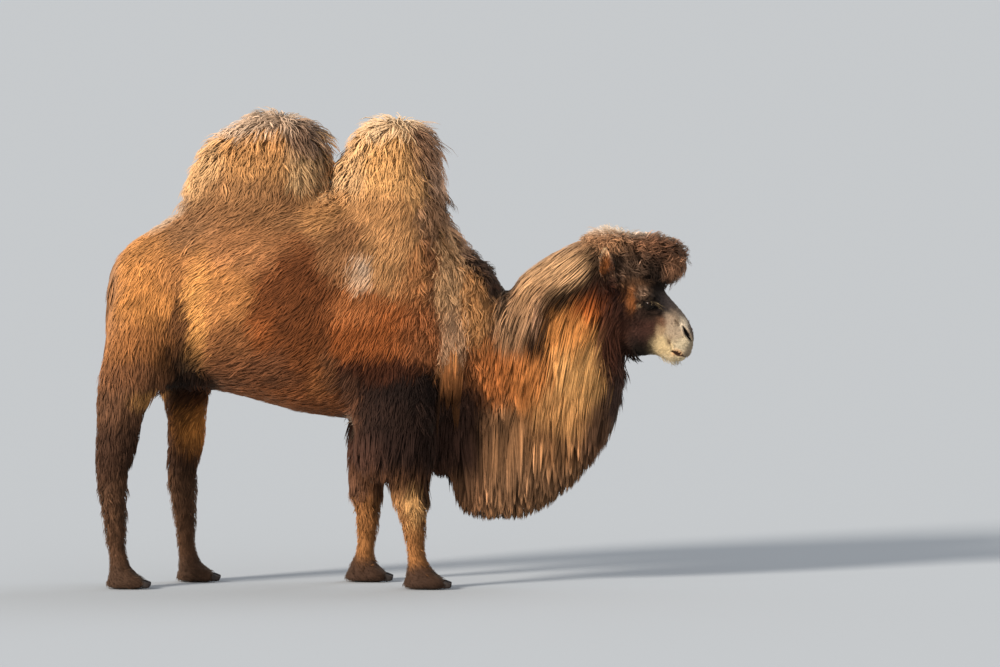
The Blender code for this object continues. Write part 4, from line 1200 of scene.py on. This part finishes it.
def lock_mesh(name, lines, widths, normals, colours, spots):
    """Spikes round the centre lines. Each ring is a flattened triangle with its ridge away from the hide;
    the last ring closes to a point and the first is capped. Shading leans to the hide's own normal, so a
    fleece reads as one soft surface. OFBake holds each lock as a patch at its root's spot."""
    count, rings = lines.shape[0], lines.shape[1] - 1
    along = unit(np.gradient(lines, axis=1))
    across = unit(np.cross(along, normals[:, None]) + 1e-6)
    ridge = np.cross(across, along)
    share = np.linspace(0, 1, rings + 1)
    ring_width = np.interp(share[:-1], *WIDTH_ALONG) * widths[:, None]
    angles = np.radians([210, 330, 90])
    out = (
        np.cos(angles)[None, None, :, None] * across[:, :-1, None]
        + RING_FLATNESS * np.sin(angles)[None, None, :, None] * ridge[:, :-1, None]
    )
    body = lines[:, :-1, None] + out * ring_width[..., None, None]
    per_lock = rings * 3 + 1
    vertices = np.concatenate([body.reshape(count, -1, 3), lines[:, -1:]], 1)
    own = np.concatenate([unit(out).reshape(count, -1, 3), along[:, -1:]], 1)
    shading = unit((1 - HIDE_SHARE) * own + HIDE_SHARE * normals[:, None]).reshape(-1, 3)
    quads = [
        (k * 3 + j, k * 3 + 3 + j, k * 3 + 3 + (j + 1) % 3, k * 3 + (j + 1) % 3)
        for k in range(rings - 1)
        for j in range(3)
    ]
    last = (rings - 1) * 3
    tris = [(0, 1, 2)] + [(last + j, per_lock - 1, last + (j + 1) % 3) for j in range(3)]
    pattern = np.array([v for face in quads + tris for v in face], np.int64)
    sizes = np.array([4] * len(quads) + [3] * len(tris), np.int64)
    loops = (pattern[None] + per_lock * np.arange(count)[:, None]).ravel()
    totals = np.tile(sizes, count)
    mesh = bpy.data.meshes.new(name)
    mesh.vertices.add(count * per_lock)
    mesh.vertices.foreach_set("co", vertices.astype(np.float32).ravel())
    mesh.loops.add(len(loops))
    mesh.loops.foreach_set("vertex_index", loops.astype(np.int32))
    mesh.polygons.add(len(totals))
    mesh.polygons.foreach_set("loop_start", (np.cumsum(totals) - totals).astype(np.int32))
    mesh.update(calc_edges=True)
    mesh.shade_smooth()
    tinted(mesh, colours.reshape(-1, 3))
    ring_of = np.append(np.repeat(share[:-1], 3), 1.0)
    side_of = np.append(np.tile([0.0, 0.5, 1.0], rings), 0.5)
    patch = PATCH * np.stack([side_of, ring_of], 1)
    uv = (spots[:, None] * (1 - PATCH) + patch[None]).reshape(-1, 2)
    layer = mesh.uv_layers.new(name="OFBake")
    layer.data.foreach_set("uv", uv[loops].astype(np.float32).ravel())
    mesh.normals_split_custom_set_from_vertices(shading.astype(np.float32))
    return mesh


def on_rings(shades):
    """The shades along each centre line, carried to the three corners of each ring and to the point."""
    return np.concatenate([np.repeat(shades[:, :-1], 3, 1), shades[:, -1:]], 1)


def lock_colours(lines, clump, style, seed):
    """Markings along each lock, dark at the root and light at the tip, toned clump by clump and lock by
    lock. Long locks read the markings all the way down, and short ones at their middle. Each reads them a
    little off its own place, so that neighbours mingle along the edge of a marking."""
    random = np.random.default_rng(seed)
    count, rings = lines.shape[0], lines.shape[1] - 1
    roots = lines[:, 0]
    tone = at_each(style.tone, roots) * random.normal(0, 1, count)[clump]
    tone = np.exp(tone + random.normal(0, LOCK_TONE, count))
    patches = ripple(roots * (1, 1, 1.6), size=0.09, seed=21)
    tone *= 1 + PATCHY * patches + style.streak * streaks(roots)
    tone *= np.exp(style.strands * ripple(roots * (1, 1, 0.07), size=STRAND, seed=24))
    mingling = np.where(roots[:, :1] > HEAD_BACK, MINGLED_ON_HEAD, MINGLED_ON_BODY)
    mingling = mingling * random.normal(0, 1, (count, 3))
    if style.follow:
        base = coat_colour((lines + mingling[:, None]).reshape(-1, 3)).reshape(count, rings + 1, 3)
    else:
        base = np.repeat(coat_colour(lines[:, (rings + 1) // 2] + mingling)[:, None], rings + 1, 1)
    # Painted shade: each lock darkens towards its root, where the fleece around it shades it.
    fade = np.interp(np.linspace(0, 1, rings + 1), [0, 0.35, 1], [style.root_shade, 0.94, TIP_LIGHT])
    shaded = base * fade[None, :, None] * tone[:, None, None]
    return on_rings(shaded * np.minimum(1, LIGHTEST / shaded.max(axis=2, keepdims=True)))


def unrolled(start, end, squash=1.0, tiles=1, tile=0):
    """A way to lay roots out on the map: by the angle round a line from start to end and the distance
    along it, each stretched to fill the map. `squash` evens out a flat form, and tiles keep like parts
    side by side."""

    def spots(points):
        along = unit(np.array(end, float) - start)
        sideways = np.array([0.0, 1.0, 0.0])
        away = points - np.array(start, float)
        angle = np.arctan2((away @ sideways) * squash, away @ np.cross(along, sideways))
        length = away @ along
        length = (length - length.min()) / np.ptp(length)
        return np.clip(np.stack([(angle / (2 * math.pi) + 0.5 + tile) / tiles, length], 1), 0, 1)

    return spots


def side_by_side(points, owner, uprights, low, high, squash):
    """Several standing forms unrolled next to one another, each round its own upright."""
    spots = np.empty((len(points), 2))
    for tile, (px, py) in enumerate(uprights):
        mine = owner == tile
        if mine.any():
            spots_of = unrolled((px, 0, low), (px, 0, high), squash, len(uprights), tile)
            spots[mine] = spots_of(points[mine] - (0, py, 0))
    return spots


def coat(name, slot, chosen, spots, spacing, seed, surface=hide, colour=None, **given):
    """One piece of coat over the chosen triangles, its roots about `spacing` apart: locks combed from
    them, their colours and their patches. A style is a length, half width and lift, the rings of a lock,
    how far it strays, the size and pull of its clumps, its curl and how often it turns, whether it is
    walked over the hide, how much clumps differ in tone, how dark the root is, how streaky the coat is,
    how far the tone changes from one hanging strand to the next, and the lie. Lengths, widths, lifts,
    pulls and tones may change from root to root, and `colour` may repaint the finished locks."""
    style = SimpleNamespace(**(PLAIN_STYLE | given))
    random = np.random.default_rng(seed)
    roots, normals = roots_on(surface, chosen, spacing, seed)
    clump = clumps_of(roots, style.size, seed)
    lines = combed(roots, normals, style, clump, seed)
    widths = at_each(style.width, roots) * np.exp(random.normal(0, LOCK_WIDTH, len(roots)))
    colours = lock_colours(lines, clump, style, seed)
    if colour is not None:
        colours = colour(colours, lines)
    mesh = lock_mesh(name, lines, widths, normals, colours, spots(roots))
    placed(name, mesh, dull_wool if slot == "dark_wool" else wool, slot)


def deeper_by_the_humps(low, high):
    """A value that grows where the back runs up into the foot of a hump."""

    def changed(points):
        near = np.minimum(np.abs(points[:, X] + 0.93) / 0.09, np.abs(points[:, X] + 0.28) / 0.08)
        return low + (high - low) * smooth_step(1.2, 0.3, near) * smooth_step(1.60, 1.70, points[:, Z])

    return changed


trunk = part_of("trunk")
round_trunk = unrolled((-1.40, 0, 1.25), (0.50, 0, 1.25))
for name, chosen, seed in (
    ("rump_coat", trunk & (x < -0.90), 31),
    ("flank_coat", trunk & (x >= -0.90) & (x < -0.34), 32),
    ("side_coat", trunk & (x >= -0.34) & (x < 0.10), 33),
):
    coat(
        name, "golden_wool", chosen, round_trunk, spacing=0.0108, seed=seed,
        length=deeper_by_the_humps(0.064, 0.095), width=0.0020, lift=deeper_by_the_humps(0.14, 0.42),
        size=4, gather=0.24, root_shade=0.82, streak=0.32,
    )
coat(
    "withers_wool", "golden_wool", trunk & (x >= 0.10), round_trunk, spacing=0.0100, seed=34,
    length=0.060, width=0.0021, lift=0.24, rings=3, stray=0.4, gather=0.55, curl=0.006, tone=0.24,
    root_shade=0.70,
)

# ---------------------------------------------------------------------------------------------------------
# Humps: pale wool that grows longer and shaggier from the foot to the crest, most of all on the front
# faces. Longer locks fill the notch between the humps and the slope from the front hump to the withers.

HUMPS_PART = -0.29
REAR_HUMP, FRONT_HUMP = -0.62, -0.04


def round_humps(points):
    """Each hump unrolled round its own upright, side by side."""
    front = points[:, X] > HUMPS_PART
    uprights = ((REAR_HUMP, 0), (FRONT_HUMP, 0))
    return side_by_side(points, front, uprights, low=1.7, high=2.2, squash=1.5)


def hump_growth(low, high, front_share=1.0):
    """A value that grows from the smooth foot of the humps to their crests, and on their front faces. A
    front share below 1 lets it grow less towards the crest of the front hump."""

    def grown(points):
        front = points[:, X] > HUMPS_PART
        up = smooth_step(np.where(front, 1.80, 1.88), 2.05, points[:, Z])
        ahead = points[:, X] - np.where(front, -0.02, -0.58)
        face = smooth_step(0.06, 0.22, ahead) + 0.4 * smooth_step(0.06, 0.24, -ahead)
        face *= smooth_step(1.72, 1.84, points[:, Z])
        up *= np.where(front, 0.85 * front_share, 0.85)
        return low + (high - low) * np.clip(up + 0.6 * face, 0, 1)

    return grown


coat(
    "hump_wool", "pale_wool", part_of("hump"), round_humps, spacing=0.0100, seed=35,
    length=hump_growth(0.062, 0.108), width=hump_growth(0.0021, 0.0026), lift=hump_growth(0.14, 0.42),
    rings=3, stray=0.30, gather=hump_growth(0.28, 0.52, 0.45), curl=0.005,
    tone=hump_growth(0.10, 0.30, 0.4), root_shade=0.70,
)
notch = (np.abs(x + 0.270) < 0.085) & (z < 1.95)
front_lock = (x > 0.14) & (np.abs(z - 1.80) < 0.035) & (np.abs(y) < 0.10)
coat(
    "notch_wool", "pale_wool", part_of("hump") & (notch | front_lock), round_humps,
    spacing=0.0088, seed=56,
    length=0.095, width=0.0022, lift=0.55, rings=3, stray=0.3, gather=0.5, curl=0.005, tone=0.2,
    root_shade=0.70,
)
slope = (x > 0.16) & (x < 0.43) & (np.abs(y) < 0.13) & (z > 1.40) & (z < 1.74)
coat(
    "slope_wool", "golden_wool", part_of("trunk", "neck") & slope, round_trunk, spacing=0.0092, seed=58,
    length=swelling(0.044, 0.116, 1.59, 0.085, Z), width=0.0022, lift=0.62, rings=3, stray=0.35, size=7,
    gather=0.55, curl=0.006, tone=0.34, root_shade=0.55,
)

# ---------------------------------------------------------------------------------------------------------
# Neck: hair that lengthens down the throat into a beard that almost reaches the knees, a pale mane combed
# back over it, and long locks that hang in front of the shoulder.

SHOULDER_GOLD = linear((160, 100, 56))
SHOULDER_RINGS = 5

round_neck = unrolled((0.20, 0, 1.05), (1.02, 0, 1.15))
round_beard = unrolled((0.66, 0, 0.25), (0.66, 0, 1.10), squash=3.0)


def neck_length(points):
    """Neck hair is short behind the mane and grows long low down in front, where it joins the beard."""
    return 0.085 + 0.145 * smooth_step(0.50, 0.68, points[:, X]) * smooth_step(1.30, 1.14, points[:, Z])


def golden_down(shades, lines):
    """Locks keep the coat's own colour at the root and turn golden over their first half."""
    gold = SHOULDER_GOLD * shades.mean(axis=2, keepdims=True) / shades.mean()
    ring = np.append(np.repeat(np.arange(SHOULDER_RINGS), 3), SHOULDER_RINGS) / SHOULDER_RINGS
    return shades + smooth_step(0.0, 0.5, ring)[None, :, None] * (gold - shades)


coat(
    "neck_coat", "golden_wool", part_of("neck"), round_neck, spacing=0.0100, seed=36,
    length=neck_length, width=0.0023, lift=0.10, rings=4, stray=0.16, size=7, gather=0.66, follow=True,
    tone=0.28, root_shade=0.52,
)
coat(
    "mane_locks", "pale_wool", part_of("mane"), round_neck, spacing=0.0086, seed=37,
    length=0.180, width=0.0024, lift=0.11, rings=4, stray=0.13, gather=0.7, follow=True, tone=0.26,
    root_shade=0.5,
)
coat(
    "beard_locks", "beard_wool", part_of("beard"), round_beard, spacing=0.0110, seed=38,
    length=0.300, width=0.0027, lift=0.06, rings=5, stray=0.08, size=9, gather=0.90, follow=True,
    tone=0.36, strands=0.65, root_shade=0.42,
)
uneven = 0.04 * ripple(hide.middles, size=0.05, seed=9)
shoulder_edge = ((x - 0.265) / 0.046) ** 2 + ((z - 1.02 + uneven) / 0.11) ** 2 < 1
coat(
    "shoulder_locks", "golden_wool", shoulder_edge & (np.abs(y) > 0.1), round_trunk,
    spacing=0.0085, seed=47,
    length=0.340, width=0.0026, lift=0.10, rings=SHOULDER_RINGS, stray=0.12, size=14, gather=0.85,
    follow=True, tone=0.3, root_shade=0.5, lie=straight(-0.05, 0.0, -1.0), colour=golden_down,
)

# ---------------------------------------------------------------------------------------------------------
# Head: a topknot of dark curls over the forehead, longer hair on cheeks and throat, and fine short fur
# that gets shorter towards the nose. The bare rims of nostrils, lips and lids carry none.

round_head = unrolled((0.90, 0, 1.52), (1.34, 0, 1.08), squash=1.2)
coat(
    "topknot_curls", "beard_wool", part_of("topknot"), round_head, spacing=0.0074, seed=39,
    length=changing(0.0248, 0.062, 1.36, 1.44, Z), width=0.0018, lift=0.42, rings=4, stray=0.6,
    gather=0.62, curl=0.010, turns=0.9, tone=0.50, root_shade=0.35,
)
face = on_face(hide.middles)
head = part_of("head", "lower_jaw", "eye_")
coat(
    "cheek_coat", "short_coat", head & ~face, round_head, spacing=0.0066, seed=40,
    length=changing(0.060, 0.026, 0.96, 1.12, X), width=0.0020, lift=0.20, rings=3, gather=0.5,
    follow=True, tone=0.14,
)
bare = (nostril_depth(hide.middles)[0] > 0.2) | (mouth_depth(hide.middles) > 0.2)
bare |= (lid_shade(hide.middles, 1) > 0.45) | (lid_shade(hide.middles, -1) > 0.45)
coat(
    "face_coat", "short_coat", head & face & ~bare, round_head,
    spacing=changing(0.0044, 0.0060, 1.30, 1.10, X), seed=41,
    length=changing(0.013, 0.027, 1.24, 1.06, X), width=changing(0.0010, 0.0016, 1.24, 1.06, X),
    lift=0.20, stray=0.22, gather=0.4, tone=0.16,
)
coat(
    "forelock", "beard_wool", part_of("topknot") & (x > 1.19) & (z < 1.49), round_head,
    spacing=0.0058, seed=48,
    length=lambda points: np.clip(points[:, Z] - 1.382, 0.014, 0.09), width=0.0019, lift=0.24, rings=4,
    stray=0.25, gather=0.6, curl=0.004, tone=0.42, root_shade=0.4, lie=straight(0.10, 0.0, -1.0),
)
crest = part_of("topknot", "mane") & (z > 1.53) & (x < 1.16) & (x > 0.86)
coat(
    "crown_fuzz", "pale_wool", crest, round_head, spacing=0.0068, seed=53,
    length=swelling(0.034, 0.076, 0.99, 0.07, X), width=0.0017, lift=0.72, rings=3, stray=0.5, size=4,
    gather=0.3, curl=0.003, tone=0.2, root_shade=0.6,
)
throat = part_of("neck", "beard") & (hide_out[:, X] > 0.35) & (x > 0.80) & (z < 1.2)
throat |= head & (x < 1.09) & (z < 1.10) & (hide_out[:, Z] < -0.4)
coat(
    "throat_fringe", "dark_wool", throat, round_beard, spacing=0.0094, seed=54,
    length=changing(0.110, 0.050, 1.00, 1.07, X), width=0.0024, lift=changing(0.09, 0.44, 0.95, 1.07, Z),
    rings=4, stray=0.16, size=5, gather=0.5, tone=0.22, root_shade=0.5, lie=straight(0.10, 0.0, -1.0),
)
brows = ((x - 1.092) / 0.060) ** 2 + ((z - 1.342 + 0.35 * (x - 1.092)) / 0.030) ** 2 < 1
coat(
    "brow_tufts", "short_coat", brows & head & (np.abs(y) > 0.05), round_head, spacing=0.0046, seed=49,
    length=0.036, width=0.0015, lift=0.30, rings=3, stray=0.35, gather=0.7, curl=0.003, tone=0.42,
    root_shade=0.4, lie=straight(0.55, 0.0, -0.80),
)
coat(
    "chin_whiskers", "short_coat", head & (z < 1.04) & (np.abs(x - 1.235) < 0.05), round_head,
    spacing=0.0085, seed=55,
    length=0.034, width=0.0007, lift=0.45, rings=3, stray=0.3, gather=0.3, lie=straight(0.1, 0.0, -1.0),
)

# Eyelashes: long, fine and double-rowed against blown sand, some of them pale towards the tip.
LASHES, LASH_RINGS, LASH_HALF_WIDTH = 64, 5, 0.0008
LASH_DARK, LASH_PALE = linear((34, 26, 20)), linear((186, 158, 118))


def lashes(sign, count, seed):
    """A fringe along the upper lid: each lash leaves it outwards and forwards and droops to its tip."""
    random = np.random.default_rng(seed)
    outward, ahead, above = eye_axes(sign)
    along = np.linspace(-0.9, 1.0, count) + random.normal(0, 0.02, count)
    across = SLIT_ABOVE * (1 - along**2) + random.uniform(0.001, 0.007, count)
    off = np.sqrt(np.maximum((EYE_RADIUS + LID) ** 2 - (along * SLIT_HALF_LENGTH) ** 2 - across**2, 1e-6))
    root = (
        eye_middle * (1, sign, 1)
        + (along * SLIT_HALF_LENGTH)[:, None] * ahead
        + across[:, None] * above
        + (off - 0.001)[:, None] * outward
    )
    length = random.uniform(0.030, 0.062, count)[:, None, None]
    s = np.linspace(0, 1, LASH_RINGS + 1)[None, :, None]
    lean = (0.75 + 0.25 * along + random.normal(0, 0.22, count))[:, None, None]
    rise = random.uniform(0.0, 0.5, count)[:, None, None]
    way = outward * (0.55 * s - 0.28 * s**2) + ahead * lean * s + above * (rise * s - 0.30 * s**2)
    return root[:, None] + length * way, np.tile(outward, (count, 1))


fringes = [lashes(sign, LASHES, 60 + sign) for sign in (-1, 1)]
lines, outs = (np.concatenate([fringe[k] for fringe in fringes]) for k in range(2))
tip = np.clip(np.linspace(-0.2, 1.1, LASH_RINGS + 1), 0, 1)[None, :, None]
pale = tip * np.random.default_rng(63).uniform(0, 1, (2 * LASHES, 1, 1)) ** 3
shades = on_rings(LASH_DARK + pale * (LASH_PALE - LASH_DARK))
root_x, root_y, root_z = lines[:, 0].T
spots = np.stack([np.where(root_y > 0, 0.75, 0.25) + (root_z - 1.27) * 4, (root_x - 1.1) * 8], 1)
widths = np.full(2 * LASHES, LASH_HALF_WIDTH)
lash_mesh = lock_mesh("eyelashes", lines, widths, outs, shades, np.clip(spots, 0, 1))
placed("eyelashes", lash_mesh, wool, "short_coat")

# ---------------------------------------------------------------------------------------------------------
# Fur of the ears: short hair that lies up the cup towards its tip, pale along the upper rim, and a loose
# dark fringe that grows from the head round the foot of each ear.

EAR_TIP_HAIR = linear((168, 136, 104))


def ear_hair(side):
    """Colours of an ear's locks: dark behind, ginger in the cup, and pale along the upper rim."""
    foot, tip, open_way = ear_axes(side)

    def coloured(shades, lines):
        away = lines[:, 0] - foot
        height = away @ (tip - foot) / ((tip - foot) @ (tip - foot))
        # The cup is ginger only towards its back; its forward part keeps the dark colour as painted shade.
        inside = smooth_step(0.004, 0.014, away @ open_way) * smooth_step(0.022, -0.004, away[:, X])
        base = EAR_BACK + inside[:, None] * (EAR_INSIDE - EAR_BACK)
        rim = smooth_step(0.50, 1.00, height + 9 * np.maximum(-away[:, X] - 0.012, 0))
        base = base + 0.7 * rim[:, None] * (EAR_TIP_HAIR - base)
        return base[:, None] * (shades.mean(axis=2, keepdims=True) / shades.mean())

    return coloured


for side, seed in (("right", 51), ("left", 52)):
    cup = surface_of(ear_meshes[side])
    foot, tip, _ = ear_axes(side)
    coat(
        f"ear_fur_{side}", "short_coat", cup.areas > 0, unrolled(foot, tip),
        spacing=0.0035, seed=seed, surface=cup,
        length=0.024, width=0.0011, lift=0.30, rings=3, stray=0.30, size=4, gather=0.35, tone=0.34,
        root_shade=0.66, lie=straight(*unit(tip - foot)), colour=ear_hair(side),
    )
ear_feet = [ear_axes(side)[0] + (0.012, 0, 0.01) for side in ("right", "left")]
from_ears = np.min([np.linalg.norm(hide.middles - foot, axis=1) for foot in ear_feet], 0)
coat(
    "ear_fringe", "dark_wool", from_ears < 0.052, round_head, spacing=0.0058, seed=57,
    length=0.050, width=0.0016, lift=0.85, rings=4, stray=0.5, size=5, gather=0.5, curl=0.005, tone=0.55,
    root_shade=0.5, lie=straight(0.25, 0.0, -0.5),
)

# ---------------------------------------------------------------------------------------------------------
# Legs and tail: dark puffs of long hair on the breast and the upper fore legs, thick dark thighs and the
# fold before them, short hair down the shins that turns forwards over the feet, and hanging tail locks.

LEGS = ("hind_right", "hind_left", "fore_right", "fore_left")


def round_uprights(points):
    """Four legs unrolled side by side, each round its own upright."""
    boxes = [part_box(f"{leg}_lower_leg") for leg in LEGS]
    uprights = np.array([(low + high)[:2] for low, high in boxes]) / 2
    nearest = np.linalg.norm(points[:, None, :2] - uprights[None], axis=2).argmin(1)
    return side_by_side(points, nearest, uprights, low=0, high=1, squash=1.0)


def leg_lie(points):
    """Down the legs, turning forwards over the feet."""
    turned = smooth_step(0.17, 0.06, points[:, Z])[:, None]
    return unit(np.array([-0.1, 0.0, -1.0]) + turned * np.array([0.9, 0.0, 0.35]))


coat(
    "arm_and_breast_wool", "dark_wool", part_of("fore_right_upper", "fore_left_upper", "breast"),
    round_uprights, spacing=0.0103, seed=42,
    length=0.110, width=0.0025, lift=0.16, rings=3, stray=0.18, size=7, gather=0.6, follow=True,
    tone=0.16,
)
# These locks take their dark from the painted shade of the flank fold and groin zones.
fold = part_of("trunk") & (x > -1.06) & (x < -0.83) & (z < 1.00) & (np.abs(y) < 0.33)
coat(
    "fold_wool", "dark_wool", fold, round_trunk, spacing=0.0100, seed=59,
    length=changing(0.080, 0.045, -0.90, -0.83, X), width=0.0024, lift=0.34, rings=3, stray=0.25, size=7,
    gather=0.5, tone=0.24, lie=straight(-0.15, 0.0, -1.0),
)
coat(
    "thigh_wool", "dark_wool", part_of("hind_right_upper", "hind_left_upper"), round_uprights,
    spacing=0.0096, seed=43,
    length=0.062, width=0.0021, lift=0.18, size=8, gather=0.55, follow=True, tone=0.13,
)
coat(
    "leg_coat", "short_coat", part_of("lower_leg", "foot") & (z > 0.012), round_uprights,
    spacing=0.0087, seed=44,
    length=changing(0.026, 0.056, 0.12, 0.36, Z), width=changing(0.0013, 0.0019, 0.10, 0.40, Z),
    lift=0.26, stray=0.3, size=5, gather=0.36, tone=0.20, root_shade=0.7, lie=leg_lie,
)
coat(
    "tail_locks", "dark_wool", part_of("tail"), unrolled((-1.29, 0, 0.8), (-1.27, 0, 1.52)),
    spacing=0.0080, seed=45,
    length=0.130, width=0.0026, lift=0.10, rings=4, stray=0.1, size=7, gather=0.7, follow=True, tone=0.15,
)

low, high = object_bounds()
